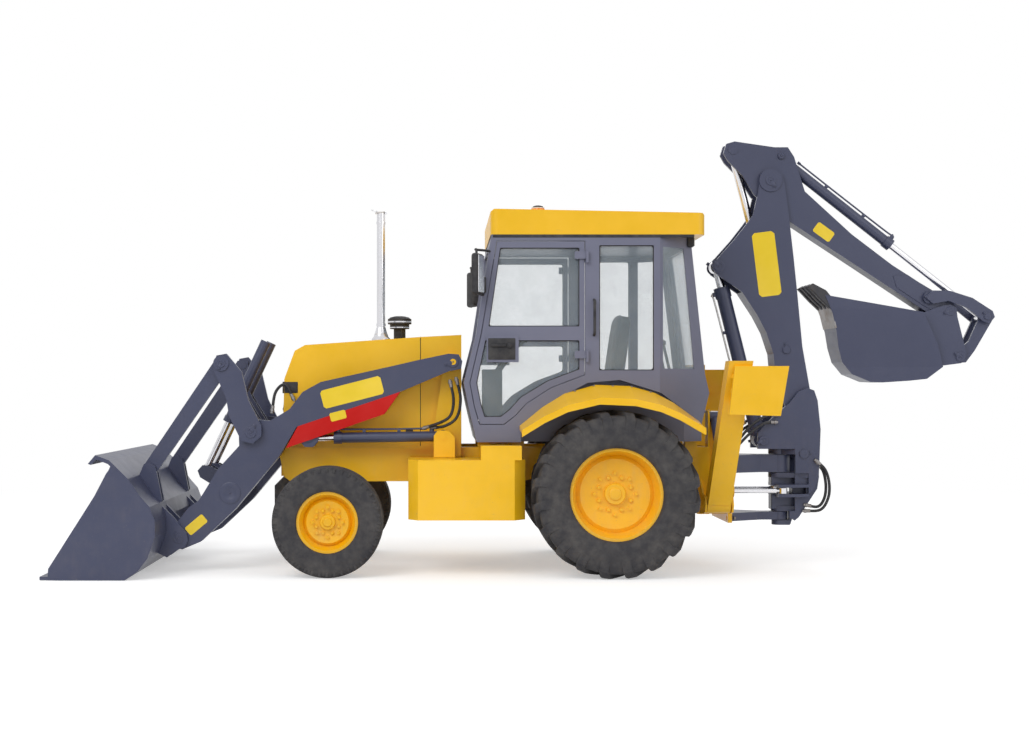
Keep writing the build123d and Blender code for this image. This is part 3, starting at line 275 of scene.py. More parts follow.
def smooth_path(points: list, steps: int = 8) -> np.ndarray:
    """A Catmull-Rom curve through points: on each span the point is the cubic blend
    0.5 * (2 b + (c - a) t + (2 a - 5 b + 4 c - d) t^2 + (3 b - a - 3 c + d) t^3) of four neighbours.

    Args:
        points: the route's points.
        steps: samples on each span.
    Returns:
        the sampled curve as an array of points.
    """
    p = np.asarray(points, dtype=float)
    p = np.concatenate([[2 * p[0] - p[1]], p, [2 * p[-1] - p[-2]]])
    t = np.linspace(0, 1, steps, endpoint=False)[None, :, None]
    a, b, c, d = (p[i:len(p) - 3 + i][:, None, :] for i in range(4))
    cubic = 3 * b - a - 3 * c + d
    curve = 0.5 * (2 * b + (c - a) * t + (2 * a - 5 * b + 4 * c - d) * t ** 2 + cubic * t ** 3)
    return np.concatenate([curve.reshape(-1, 3), p[-2][None]])


def tube(surface: Surface, path: np.ndarray, radius: float, segments: int = 14) -> Surface:
    """Adds a round tube: rings of the radius, square to the path, carried along it without twist.

    Args:
        surface: the surface to add to.
        path: the middle line, as points.
        radius: the tube's radius.
        segments: number of steps round it.
    Returns:
        the surface.
    """
    tangent = np.gradient(path, axis=0)
    tangent /= np.linalg.norm(tangent, axis=1)[:, None]
    u, _, _ = basis(tangent[0])
    frames = []
    for t in tangent:
        u = u - t * float(u @ t)
        u = u / np.linalg.norm(u)
        frames.append((u, np.cross(t, u)))
    side, up = np.array([f[0] for f in frames]), np.array([f[1] for f in frames])
    a = np.linspace(0, 2 * np.pi, segments, endpoint=False)
    ring = np.cos(a)[None, :, None] * side[:, None, :] + np.sin(a)[None, :, None] * up[:, None, :]
    body = path[:, None, :] + radius * ring
    caps = [np.repeat(path[i][None, None, :], segments, axis=1) for i in (0, -1)]
    points = np.concatenate([caps[0], body, caps[1]])
    return surface.add(points, grid_faces(len(path) + 2, segments, False, True))


def rounded_box(surface: Surface, centre: np.ndarray, size: Place, radius: float,
                steps: int = 3, turn: np.ndarray | None = None) -> Surface:
    """Adds a box with round edges: a small sphere's direction n on a (longitude, latitude) grid moves the
    corner of the inner box on its own side, point = centre + sign(n) * (size / 2 - radius) + radius * n.

    Args:
        surface: the surface to add to.
        centre: the box's middle.
        size: its three sides.
        radius: radius of its edges.
        steps: steps on each quarter circle.
        turn: a 3 x 3 matrix that turns the box about its middle.
    Returns:
        the surface.
    """
    quarter = np.linspace(0.002, np.pi / 2 - 0.002, steps + 1)
    longitude = np.concatenate([quarter + k * np.pi / 2 for k in range(4)])
    latitude = np.concatenate([quarter - np.pi / 2, quarter])
    lat, lon = np.meshgrid(latitude, longitude, indexing="ij")
    n = np.stack([np.cos(lat) * np.cos(lon), np.cos(lat) * np.sin(lon), np.sin(lat)], axis=-1)
    corner = np.sign(n) * (np.array(size) / 2 - radius)
    points = corner + radius * n
    if turn is not None:
        points = points @ turn.T
    points = points + np.asarray(centre)
    rows, columns = lat.shape
    faces = grid_faces(rows, columns, False, True).tolist()
    faces.append(list(range(columns))[::-1])
    faces.append([(rows - 1) * columns + j for j in range(columns)])
    return surface.add(points, faces)


def turn_about_y(degrees: float) -> np.ndarray:
    """A 3 x 3 matrix that turns points about Y, from Z towards X.

    Args:
        degrees: the angle.
    Returns:
        the matrix.
    """
    a = math.radians(degrees)
    return np.array([[math.cos(a), 0, math.sin(a)], [0, 1, 0], [-math.sin(a), 0, math.cos(a)]])


def plate(surface: Surface, outline: list[tuple[float, float]], y0: float, y1: float,
          bevel: float) -> Surface:
    """Adds a flat plate with an (x, z) outline: four loops of the outline, drawn in by the bevel on both
    faces, point = outline + inward normal * bevel on the faces and the outline itself on the rim.

    Args:
        surface: the surface to add to.
        outline: (x, z) points in order.
        y0: one face.
        y1: the other face.
        bevel: width of the bevelled edge.
    Returns:
        the surface.
    """
    p = np.array(outline, dtype=float)
    ahead, behind = np.roll(p, -1, axis=0) - p, p - np.roll(p, 1, axis=0)
    ahead /= np.linalg.norm(ahead, axis=1)[:, None]
    behind /= np.linalg.norm(behind, axis=1)[:, None]
    area = float(np.sum(p[:, 0] * np.roll(p[:, 1], -1) - p[:, 1] * np.roll(p[:, 0], -1)))
    mitre = np.stack([-(ahead + behind)[:, 1], (ahead + behind)[:, 0]], axis=1)
    mitre /= np.linalg.norm(mitre, axis=1)[:, None]
    half = np.sqrt(np.clip((1 + np.sum(ahead * behind, axis=1)) / 2, 0.2, 1))
    inner = p + np.sign(area) * mitre * (bevel / half)[:, None]
    low, high = min(y0, y1), max(y0, y1)
    loops = [(inner, low), (p, low + bevel), (p, high - bevel), (inner, high)]
    points = np.stack([np.stack([q[:, 0], np.full(len(q), y), q[:, 1]], axis=1) for q, y in loops])
    n = len(p)
    faces = grid_faces(4, n, False, True).tolist()
    faces.append(list(range(n)))
    faces.append([3 * n + j for j in range(n)][::-1])
    return surface.add(points, faces)


def hex_bolt(surface: Surface, place: np.ndarray, axis: np.ndarray, across: float) -> Surface:
    """Adds a bolt head with its washer: a flat ring and a six-sided head with a chamfered top.

    Args:
        surface: the surface to add to.
        place: where the washer sits.
        axis: the way the head points.
        across: width of the head.
    Returns:
        the surface.
    """
    r, h = across / 2, across * 0.55
    lathe(surface, place, axis, [(0, 0), (r * 1.5, 0), (r * 1.5, h * 0.2), (0, h * 0.2)], 16)
    head = [(0, h * 0.2), (r * 1.12, h * 0.2), (r * 1.12, h * 1.05), (r * 0.9, h * 1.25), (0, h * 1.25)]
    return lathe(surface, place, axis, head, 6)


# ---------------------------------------------------------------- shared shader groups
def new_group(name: str, inputs: dict[str, tuple[str, object]],
              outputs: dict[str, str]) -> bpy.types.NodeTree:
    """An empty shader node group with named sockets.

    Args:
        name: the group's name.
        inputs: socket name to (type, default).
        outputs: socket name to type.
    Returns:
        the node tree.
    """
    tree = bpy.data.node_groups.new(name, "ShaderNodeTree")
    for label, (kind, default) in inputs.items():
        socket = tree.interface.new_socket(name=label, in_out="INPUT", socket_type=kind)
        if default is not None:
            socket.default_value = default
    for label, kind in outputs.items():
        tree.interface.new_socket(name=label, in_out="OUTPUT", socket_type=kind)
    tree.nodes.new("NodeGroupInput")
    tree.nodes.new("NodeGroupOutput")
    return tree


@dataclass
class Wiring:
    """Short calls that add nodes to one tree."""

    tree: bpy.types.NodeTree

    def node(self, kind: str, links: dict | None = None, values: dict | None = None,
             **settings) -> bpy.types.Node:
        """Adds a node.

        Args:
            kind: its Blender type, without the leading ShaderNode.
            links: input name or number to the socket that feeds it.
            values: input name or number to a plain value.
            **settings: properties of the node itself.
        Returns:
            the node.
        """
        node = self.tree.nodes.new("ShaderNode" + kind)
        for key, value in settings.items():
            setattr(node, key, value)
        for key, value in (values or {}).items():
            node.inputs[key].default_value = value
        for key, socket in (links or {}).items():
            self.tree.links.new(socket, node.inputs[key])
        return node

    def noise(self, vector: Socket, scale: float, detail: float = 3.0, roughness: float = 0.6) -> Socket:
        """A noise texture's value.

        Args:
            vector: the socket with the place.
            scale: pieces per metre.
            detail: number of finer layers.
            roughness: strength of the finer layers.
        Returns:
            the value's socket.
        """
        made = self.node("TexNoise", {"Vector": vector}, {"Scale": scale, "Detail": detail,
                                                          "Roughness": roughness})
        return made.outputs["Fac"]

    def ramp(self, value: Socket, low: float, high: float) -> Socket:
        """A value stretched so that low becomes 0 and high becomes 1, and clamped.

        Args:
            value: the socket to stretch.
            low: what becomes 0.
            high: what becomes 1.
        Returns:
            the stretched value's socket.
        """
        made = self.node("MapRange", {0: value}, {1: low, 2: high, 3: 0.0, 4: 1.0})
        return made.outputs[0]

    def feed(self, made: bpy.types.Node, pairs: tuple) -> None:
        """Sets or links inputs of a node.

        Args:
            made: the node.
            pairs: (input number, socket or plain value) pairs.
        """
        for index, value in pairs:
            if isinstance(value, (int, float, tuple)):
                made.inputs[index].default_value = value
            else:
                self.tree.links.new(value, made.inputs[index])

    def math(self, operation: str, a: Socket | float, b: Socket | float) -> Socket:
        """A Math node's result.

        Args:
            operation: the node's operation.
            a: first socket or number.
            b: second socket or number.
        Returns:
            the result's socket.
        """
        made = self.node("Math", operation=operation)
        self.feed(made, ((0, a), (1, b)))
        return made.outputs[0]

    def mix(self, factor: Socket | float, a: Socket | tuple, b: Socket | tuple) -> Socket:
        """Colour a mixed with colour b.

        Args:
            factor: share of b, as a socket or number.
            a: first socket or colour.
            b: second socket or colour.
        Returns:
            the mixed colour's socket.
        """
        made = self.node("Mix", data_type="RGBA")
        self.feed(made, ((0, factor), (6, a), (7, b)))
        return made.outputs[2]


GROUP_OUTPUTS = {"Color": "NodeSocketColor", "Roughness": "NodeSocketFloat", "Height": "NodeSocketFloat"}


def paint_group() -> bpy.types.NodeTree:
    """Sprayed paint: slow shade changes, orange peel, fine scratches, and road dust that thickens towards the
    ground.

    Returns:
        a group that puts out Color, Roughness and Height.
    """
    tree = new_group("sprayed_paint", {
        "Paint": ("NodeSocketColor", (0.8, 0.5, 0.05, 1)), "Dust": ("NodeSocketColor", (0.35, 0.30, 0.22, 1)),
        "Dust Amount": ("NodeSocketFloat", 0.2), "Wear": ("NodeSocketFloat", 0.2),
        "Roughness": ("NodeSocketFloat", 0.35)},
        GROUP_OUTPUTS)
    w = Wiring(tree)
    source, sink = tree.nodes["Group Input"].outputs, tree.nodes["Group Output"].inputs
    place = w.node("TexCoord").outputs["Object"]
    height = w.node("SeparateXYZ", {0: place}).outputs["Z"]
    slow = w.noise(place, 1.7, 4)
    cloudy = w.noise(place, 9.0, 5)
    fine = w.noise(place, 260.0, 2)
    streak_place = w.node("Mapping", {"Vector": place}, {"Scale": (26.0, 26.0, 2.2)}).outputs[0]
    streak = w.noise(streak_place, 1.0, 3)
    deep = w.node("HueSaturation", {"Color": source["Paint"]}, {"Value": 0.93, "Saturation": 1.02}).outputs[0]
    pale = w.node("HueSaturation", {"Color": source["Paint"]}, {"Value": 1.03, "Saturation": 0.98}).outputs[0]
    shade = w.mix(w.ramp(slow, 0.35, 0.65), deep, pale)
    low = w.ramp(height, 2.0, 0.0)
    patch = w.math("MULTIPLY", w.ramp(cloudy, 0.42, 0.72), w.ramp(streak, 0.25, 0.75))
    dust = w.math("MULTIPLY", w.math("ADD", w.math("MULTIPLY", low, 0.75), 0.12), patch)
    dust = w.math("MINIMUM", w.math("MULTIPLY", dust, w.math("MULTIPLY", source["Dust Amount"], 3.0)), 0.85)
    scratch_place = w.node("Mapping", {"Vector": place},
                           {"Scale": (14.0, 90.0, 120.0), "Rotation": (0.3, 0.5, 0.2)}).outputs[0]
    scratch = w.ramp(w.noise(scratch_place, 1.0, 2), 0.70, 0.76)
    chips = w.math("MULTIPLY", w.ramp(w.noise(place, 55.0, 4), 0.66, 0.70), low)
    worn = w.math("MULTIPLY", w.math("MAXIMUM", w.math("MULTIPLY", scratch, 0.5), chips), source["Wear"])
    dusty = w.mix(dust, shade, source["Dust"])
    color = w.mix(worn, dusty, (0.16, 0.15, 0.15, 1.0))
    rough = w.math("ADD", source["Roughness"], w.math("MULTIPLY", dust, 0.45))
    rough = w.math("ADD", rough, w.math("MULTIPLY", w.math("SUBTRACT", cloudy, 0.5), 0.18))
    tree.links.new(color, sink["Color"])
    tree.links.new(rough, sink["Roughness"])
    tree.links.new(w.math("ADD", w.math("MULTIPLY", fine, 0.5), w.math("MULTIPLY", worn, -0.6)),
                   sink["Height"])
    return tree


def grain_group() -> bpy.types.NodeTree:
    """Moulded grain for rubber, plastic and vinyl: small cells over a soft mottle, with a dusty bloom.

    Returns:
        a group that puts out Color, Roughness and Height.
    """
    tree = new_group("moulded_grain", {"Base": ("NodeSocketColor", (0.05, 0.05, 0.05, 1)),
                                       "Bloom": ("NodeSocketColor", (0.2, 0.19, 0.17, 1)),
                                       "Bloom Amount": ("NodeSocketFloat", 0.2),
                                       "Cell": ("NodeSocketFloat", 400.0),
                                       "Roughness": ("NodeSocketFloat", 0.7)}, GROUP_OUTPUTS)
    w = Wiring(tree)
    source, sink = tree.nodes["Group Input"].outputs, tree.nodes["Group Output"].inputs
    place = w.node("TexCoord").outputs["Object"]
    cells = w.node("TexVoronoi", {"Vector": place, "Scale": source["Cell"]}).outputs["Distance"]
    mottle = w.noise(place, 14.0, 5)
    wide = w.noise(place, 3.0, 3)
    bloom = w.math("MULTIPLY", w.ramp(w.math("MULTIPLY", mottle, w.math("ADD", wide, 0.5)), 0.35, 0.75),
                   source["Bloom Amount"])
    tree.links.new(w.mix(bloom, source["Base"], source["Bloom"]), sink["Color"])
    rough = w.math("ADD", source["Roughness"], w.math("MULTIPLY", w.math("SUBTRACT", mottle, 0.5), 0.2))
    tree.links.new(rough, sink["Roughness"])
    tree.links.new(w.math("ADD", w.math("MULTIPLY", cells, 0.6), w.math("MULTIPLY", mottle, 0.4)),
                   sink["Height"])
    return tree


def brushed_group() -> bpy.types.NodeTree:
    """Bare metal: fine lines along Z or round the piece, with stains.

    Returns:
        a group that puts out Color, Roughness and Height.
    """
    tree = new_group("bare_metal", {
        "Metal": ("NodeSocketColor", (0.6, 0.6, 0.6, 1)), "Stain": ("NodeSocketColor", (0.25, 0.17, 0.1, 1)),
        "Stain Amount": ("NodeSocketFloat", 0.1), "Roughness": ("NodeSocketFloat", 0.2)},
        GROUP_OUTPUTS)
    w = Wiring(tree)
    source, sink = tree.nodes["Group Input"].outputs, tree.nodes["Group Output"].inputs
    place = w.node("TexCoord").outputs["Object"]
    lines = w.noise(w.node("Mapping", {"Vector": place}, {"Scale": (600.0, 600.0, 8.0)}).outputs[0], 1.0, 2)
    blotch = w.ramp(w.noise(place, 11.0, 5), 0.45, 0.75)
    stain = w.math("MULTIPLY", blotch, source["Stain Amount"])
    tree.links.new(w.mix(stain, source["Metal"], source["Stain"]), sink["Color"])
    rough = w.math("ADD", source["Roughness"], w.math("MULTIPLY", lines, 0.12))
    tree.links.new(w.math("ADD", rough, w.math("MULTIPLY", stain, 0.3)), sink["Roughness"])
    tree.links.new(lines, sink["Height"])
    return tree


@dataclass(frozen=True)
class Paint:
    """A sprayed enamel."""

    name: str
    color: RGB
    dust: RGB = (0.42, 0.36, 0.27)
    dust_amount: float = 0.25
    wear: float = 0.3
    roughness: float = 0.30
    coat: float = 0.35
    specular: float = 0.5

    def build(self) -> Material:
        """Makes the enamel: the shared paint group feeds a coated Principled BSDF.

        Returns:
            the material.
        """
        plain = {"Coat Weight": self.coat, "Coat Roughness": 0.12, "Specular IOR Level": self.specular}
        return dressed(self.name, "sprayed_paint", {
            "Paint": (*self.color, 1), "Dust": (*self.dust, 1), "Dust Amount": self.dust_amount,
            "Wear": self.wear, "Roughness": self.roughness}, plain, 0.0006)


@dataclass(frozen=True)
class Moulding:
    """Rubber, plastic or vinyl with a moulded grain."""

    name: str
    color: RGB
    bloom: RGB = (0.20, 0.19, 0.18)
    bloom_amount: float = 0.3
    cell: float = 420.0
    roughness: float = 0.65
    depth: float = 0.0008
    specular: float = 0.4

    def build(self) -> Material:
        """Makes the moulding: the shared grain group feeds a Principled BSDF.

        Returns:
            the material.
        """
        return dressed(self.name, "moulded_grain", {"Base": (*self.color, 1), "Bloom": (*self.bloom, 1),
                                                    "Bloom Amount": self.bloom_amount, "Cell": self.cell,
                                                    "Roughness": self.roughness},
                       {"Specular IOR Level": self.specular}, self.depth)


@dataclass(frozen=True)
class Metal:
    """Bare or plated metal."""

    name: str
    color: RGB
    stain: RGB = (0.22, 0.15, 0.10)
    stain_amount: float = 0.1
    roughness: float = 0.15

    def build(self) -> Material:
        """Makes the metal: the shared metal group feeds a metallic Principled BSDF.

        Returns:
            the material.
        """
        return dressed(self.name, "bare_metal", {
            "Metal": (*self.color, 1), "Stain": (*self.stain, 1), "Stain Amount": self.stain_amount,
            "Roughness": self.roughness}, {"Metallic": 1.0}, 0.0002)


@dataclass(frozen=True)
class Glazing:
    """Tinted safety glass or a lamp lens."""

    name: str
    color: RGB
    alpha: float
    roughness: float = 0.03
    glow: float = 0.0

    def build(self) -> Material:
        """Makes the glass: see-through, a little dusty and more opaque at grazing angles.

        Returns:
            the material.
        """
        material = bpy.data.materials.new(self.name)
        material.use_nodes = True
        w = Wiring(material.node_tree)
        shader = material.node_tree.nodes["Principled BSDF"]
        place = w.node("TexCoord").outputs["Object"]
        film = w.ramp(w.noise(place, 5.0, 5), 0.4, 0.8)
        color = w.mix(w.math("MULTIPLY", film, 0.35), (*self.color, 1.0), (0.80, 0.82, 0.80, 1.0))
        facing = w.node("LayerWeight", values={"Blend": 0.25}).outputs["Facing"]
        dusty = w.math("ADD", w.math("MULTIPLY", film, 0.06), self.alpha)
        alpha = w.math("ADD", w.math("MULTIPLY", facing, 0.45), dusty)
        links = material.node_tree.links
        links.new(color, shader.inputs["Base Color"])
        links.new(w.math("MINIMUM", alpha, 1.0), shader.inputs["Alpha"])
        links.new(w.math("ADD", w.math("MULTIPLY", film, 0.08), self.roughness), shader.inputs["Roughness"])
        shader.inputs["IOR"].default_value = 1.5
        shader.inputs["Specular IOR Level"].default_value = 0.6
        return material


GROUPS = {"sprayed_paint": paint_group, "moulded_grain": grain_group, "bare_metal": brushed_group}


def dressed(name: str, group: str, values: dict[str, object], plain: dict[str, object],
            depth: float) -> Material:
    """A material whose colour, roughness and bump come from a shared group.

    Args:
        name: the material's name.
        group: name of the shared group.
        values: values on the group's own sockets.
        plain: plain values on the Principled BSDF.
        depth: how deep the bump is, in metres.
    Returns:
        the material.
    """
    material = bpy.data.materials.new(name)
    material.use_nodes = True
    tree = material.node_tree
    shader = tree.nodes["Principled BSDF"]
    node = tree.nodes.new("ShaderNodeGroup")
    node.node_tree = bpy.data.node_groups.get(group) or GROUPS[group]()
    for label, value in values.items():
        node.inputs[label].default_value = value
    for label, value in plain.items():
        shader.inputs[label].default_value = value
    bump = tree.nodes.new("ShaderNodeBump")
    bump.inputs["Distance"].default_value = depth
    bump.inputs["Strength"].default_value = 0.6
    tree.links.new(node.outputs["Color"], shader.inputs["Base Color"])
    tree.links.new(node.outputs["Roughness"], shader.inputs["Roughness"])
    tree.links.new(node.outputs["Height"], bump.inputs["Height"])
    tree.links.new(bump.outputs["Normal"], shader.inputs["Normal"])
    return material


def once(finish: Paint | Moulding | Metal | Glazing) -> Field:
    """A dataclass field whose material is built with the set it belongs to."""
    return field(default_factory=finish.build)


@dataclass
class Finishes:
    """Every finish on the machine, built once."""

    yellow: Material = once(Paint("machine_yellow", (1.0, 0.565, 0.003), dust_amount=0.05, roughness=0.38,
                                  coat=0.2, specular=0.35))
    slate: Material = once(Paint(
        "arm_slate_paint", (0.052, 0.060, 0.115), dust_amount=0.03, roughness=0.40, coat=0.1))
    grey: Material = once(Paint(
        "cab_grey_paint", (0.165, 0.172, 0.245), dust_amount=0.03, wear=0.1, roughness=0.42, coat=0.1))
    wheel: Material = once(Paint(
        "wheel_yellow_paint", (0.98, 0.52, 0.004), dust_amount=0.12, roughness=0.4, coat=0.1))
    red: Material = once(Paint("strut_red_paint", (0.60, 0.004, 0.002), dust_amount=0.02, wear=0.15,
                               roughness=0.5, coat=0.0, specular=0.25))
    cast: Material = once(Paint(
        "casting_black", (0.035, 0.036, 0.045), dust_amount=0.4, roughness=0.6, coat=0.0))
    label: Material = once(Paint(
        "label_yellow", (0.95, 0.68, 0.03), dust_amount=0.05, wear=0.05, roughness=0.45, coat=0.0))
    black: Material = once(Moulding("black_moulding", (0.020, 0.020, 0.024)))
    seal: Material = once(Moulding(
        "rubber_seal", (0.012, 0.012, 0.014), bloom_amount=0.12, roughness=0.55))
    tyre: Material = once(Moulding(
        "tyre_rubber", (0.038, 0.037, 0.042), (0.15, 0.14, 0.13), 0.45, 300.0, 0.78, 0.0015))
    hose: Material = once(Moulding(
        "hose_rubber", (0.016, 0.016, 0.020), bloom_amount=0.15, cell=900.0, roughness=0.5))
    vinyl: Material = once(Moulding(
        "seat_vinyl_black", (0.030, 0.030, 0.033), bloom_amount=0.2, cell=700.0, roughness=0.5))
    chrome: Material = once(Metal("hard_chrome", (0.80, 0.80, 0.83)))
    steel: Material = once(Metal(
        "pipe_steel", (0.62, 0.60, 0.58), stain_amount=0.45, roughness=0.28))
    worn_steel: Material = once(Metal(
        "ground_steel", (0.30, 0.29, 0.29), stain_amount=0.5, roughness=0.4))
    glass: Material = once(Glazing("cab_glass", (0.62, 0.74, 0.82), 0.13))
    lens: Material = once(Glazing("clear_lens", (0.85, 0.85, 0.80), 0.75))
    amber: Material = once(Glazing("amber_lens", (0.95, 0.28, 0.01), 0.9))


SLOT_FINISH = {
    Slot.YELLOW: "yellow", Slot.SLATE: "slate", Slot.GREY: "grey", Slot.WHEEL: "wheel", Slot.RED: "red",
    Slot.CAST: "cast", Slot.CHROME: "chrome", Slot.STEEL: "steel", Slot.TYRE: "tyre", Slot.GLASS: "glass",
    Slot.LENS: "lens", Slot.PLASTIC: "black", Slot.VINYL: "vinyl",
}


def dress_frame(finishes: Finishes) -> None:
    """Gives each CAD node the finish of its record slot.

    Args:
        finishes: the machine's finishes.
    """
    for row in frame["record"]["subparts"]:
        node = frame["nodes"][row["node"]]
        slot = Slot.SLATE if row["node"] == "swing_frame" else Slot(row["material_slot"])
        material = getattr(finishes, SLOT_FINISH[slot])
        node.data.materials.clear()
        node.data.materials.append(material)
    log.info("dressed %d nodes", len(frame["nodes"]))


# ---------------------------------------------------------------- tyres
@dataclass
class Tyre:
    """A bias-ply tyre with chevron lugs, on the axle line of one wheel."""

    body: str
    node: str
    spin: str
    outer: float
    width: float
    rim: float
    lugs: int
    lug_height: float
    lug_width: float
    sweep: float

    def carcass(self, surface: Surface) -> None:
        """The casing: the profile (radius, half width) of bead, sidewall, shoulder and tread turned about the
        axle, with a superellipse |y / w|^3 + |h / h0|^2 = 1 for the sidewall's bulge.

        Args:
            surface: the surface to add to.
        """
        w, base = self.width / 2, self.outer - self.lug_height
        t = np.linspace(-1, 1, 25)
        middle, reach = (self.rim + base) / 2, (base - self.rim) / 2
        wall_r = middle + reach * np.sin(t * np.pi / 2)
        wall_y = w * (0.80 + 0.155 * np.cos(t * np.pi / 2) ** 0.8)
        outer = list(zip(wall_r, wall_y))
        profile = outer + self.crown() + [(r, -y) for r, y in outer[::-1]]
        bead = [(self.rim - 0.004, -w * 0.74), (self.rim - 0.004, w * 0.74)]
        profile = bead[1:] + profile + bead[:1] + bead[1:]
        lathe(surface, pin_of(self.spin), np.array([0, 1, 0]), profile, 96)

    def crown(self) -> list[tuple[float, float]]:
        """The tread face between the lugs, as (radius, place across) points: a low arch.

        Returns:
            the points, from one shoulder to the other.
        """
        w, base = self.width / 2, self.outer - self.lug_height
        return [(base + 0.006 * math.cos(k * math.pi / 2),
                 w * 0.78 * k) for k in (0.75, 0.35, 0.0, -0.35, -0.75)]

    def tread(self, surface: Surface) -> None:
        """The lugs: bars that run from the middle out over the shoulder, alternating in step from side to
        side. Each is a grid along the bar (s) and across it (t); its angle round the wheel is start + sweep *
        s, its half width narrows upwards, and its top follows the crown and turns down over the shoulder.

        Args:
            surface: the surface to add to.
        """
        w, base = self.width / 2, self.outer - self.lug_height
        s = np.linspace(0, 1, 9)
        for side in (-1.0, 1.0):
            y = side * w * (-0.06 + 1.02 * s)
            shoulder = np.clip((s - 0.80) / 0.20, 0, 1)
            top = self.outer - 0.055 * shoulder ** 1.6
            foot = base - 0.03 - 0.07 * shoulder ** 1.3
            for k in range(self.lugs):
                start = 2 * math.pi * (k + (0.25 if side > 0 else -0.25)) / self.lugs
                lean = start + self.sweep * s ** 0.85
                rows = []
                for r, half in ((foot, 0.62), (top - 0.004, 0.50), (top, 0.44)):
                    rows.append((r, half * self.lug_width * (1 + 0.25 * s)))
                loop = [(rows[0], -1), (rows[1], -1), (rows[2], -1), (rows[2], 1), (rows[1], 1), (rows[0], 1)]
                points = []
                for (r, half), sign in loop:
                    a = lean + sign * half / self.outer
                    points.append(np.stack([r * np.sin(a), y, r * np.cos(a)], axis=1))
                grid = np.stack(points) + pin_of(self.spin)
                faces = grid_faces(6, len(s), True, False).tolist()
                faces.append([i * len(s) for i in range(6)])
                faces.append([i * len(s) + len(s) - 1 for i in range(6)][::-1])
                surface.add(grid, faces)

    def build(self, finishes: Finishes) -> None:
        """Makes the tyre and hides its plain solid.

        Args:
            finishes: the machine's finishes.
        """
        surface = Surface()
        self.carcass(surface)
        self.tread(surface)
        piece = surface.put(self.node + "_tread", self.body, Slot.TYRE, finishes.tyre, 32)
        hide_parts(self.node)
        log.info("tyre %s", self.node)


@dataclass
class RibbedTyre(Tyre):
    """A steering tyre with ribs that run round it, and short bars at the shoulders."""

    groove_width: float = 0.020
    grooves: tuple[float, ...] = (0.50, 0.17, -0.17, -0.50)

    def crown(self) -> list[tuple[float, float]]:
        """The ribs as (radius, place across) points: a step down and up at each groove.

        Returns:
            the points, from one shoulder to the other.
        """
        w, half, edge = self.width / 2, self.groove_width / 2, 0.004
        high, low = self.outer, self.outer - self.lug_height
        points = [(high - 0.012, w * 0.80), (high - 0.003, w * 0.76)]
        for share in self.grooves:
            middle = share * w
            points += [(high, middle + half + edge), (low, middle + half - edge),
                       (low, middle - half + edge), (high, middle - half - edge)]
        return points + [(high - 0.003, -w * 0.76), (high - 0.012, -w * 0.80)]

    def tread(self, surface: Surface) -> None:
        """The shoulder bars: small blocks spaced evenly round each shoulder, standing across it.

        Args:
            surface: the surface to add to.
        """
        centre, w = pin_of(self.spin), self.width / 2
        for side in (-1.0, 1.0):
            for k in range(self.lugs):
                a = 2 * math.pi * (k + (0.5 if side > 0 else 0.0)) / self.lugs
                out = np.array([math.sin(a), 0.0, math.cos(a)])
                along = np.array([math.cos(a), 0.0, -math.sin(a)])
                turn = np.stack([along, np.array([0.0, 1.0, 0.0]), out])
                middle = centre + out * (self.outer - 0.030) + np.array([0.0, side * w * 0.855, 0.0])
                rounded_box(surface, middle, (self.lug_width * 0.5, 0.030, 0.034), 0.004, 1, turn.T)


@dataclass
class WheelFittings:
    """Hub cap and nuts of one wheel."""

    side: Side
    axle: str
    hub_radius: float
    nut_circle: float
    nuts: int
    across: float
    hub_node: str

    def build(self, finishes: Finishes) -> None:
        """Seats the hub cap and the nuts on the rim's disc.

        Args:
            finishes: the machine's finishes.
        """
        name = f"{self.axle}_wheel_{self.side.word}"
        rim, centre = f"{self.axle}_rim_{self.side.word}", pin_of(f"{name}_spin")
        out = np.array([0.0, self.side.value, 0.0])
        surface = Surface()
        for k in range(self.nuts):
            a = 2 * math.pi * (k + 0.5) / self.nuts
            start = centre + self.nut_circle * np.array([math.cos(a), 0.0, math.sin(a)]) + out
            hex_bolt(surface, meets(rim, start, tuple(-out)), out, self.across)
        r = self.hub_radius
        disc = meets(rim, centre + out + np.array([r * 0.94, 0.0, 0.0]), tuple(-out)) @ out
        hub = max(meets(self.hub_node, centre + out + np.array([0.01, 0.0, 0.01]), tuple(-out)) @ out,
                  disc) - disc
        face = centre * np.array([1.0, 0.0, 1.0]) + disc * out
        lathe(surface, face, out, [(0, -0.002), (r, -0.002), (r, hub + 0.004), (r * 0.92, hub + 0.012),
                                   (r * 0.62, hub + 0.014), (r * 0.58, hub + 0.020), (r * 0.50, hub + 0.024),
                                   (0, hub + 0.025)], 40)
        surface.put(f"{name}_fittings", name, Slot.WHEEL, finishes.wheel)


# ---------------------------------------------------------------- pins
@dataclass(frozen=True)
class Pin:
    """One cross pin: the CAD node and body that carry its ends, and its middle line."""

    node: str
    body: str
    x: float
    z: float
    radius: float
    keeper: float | None = 0.0


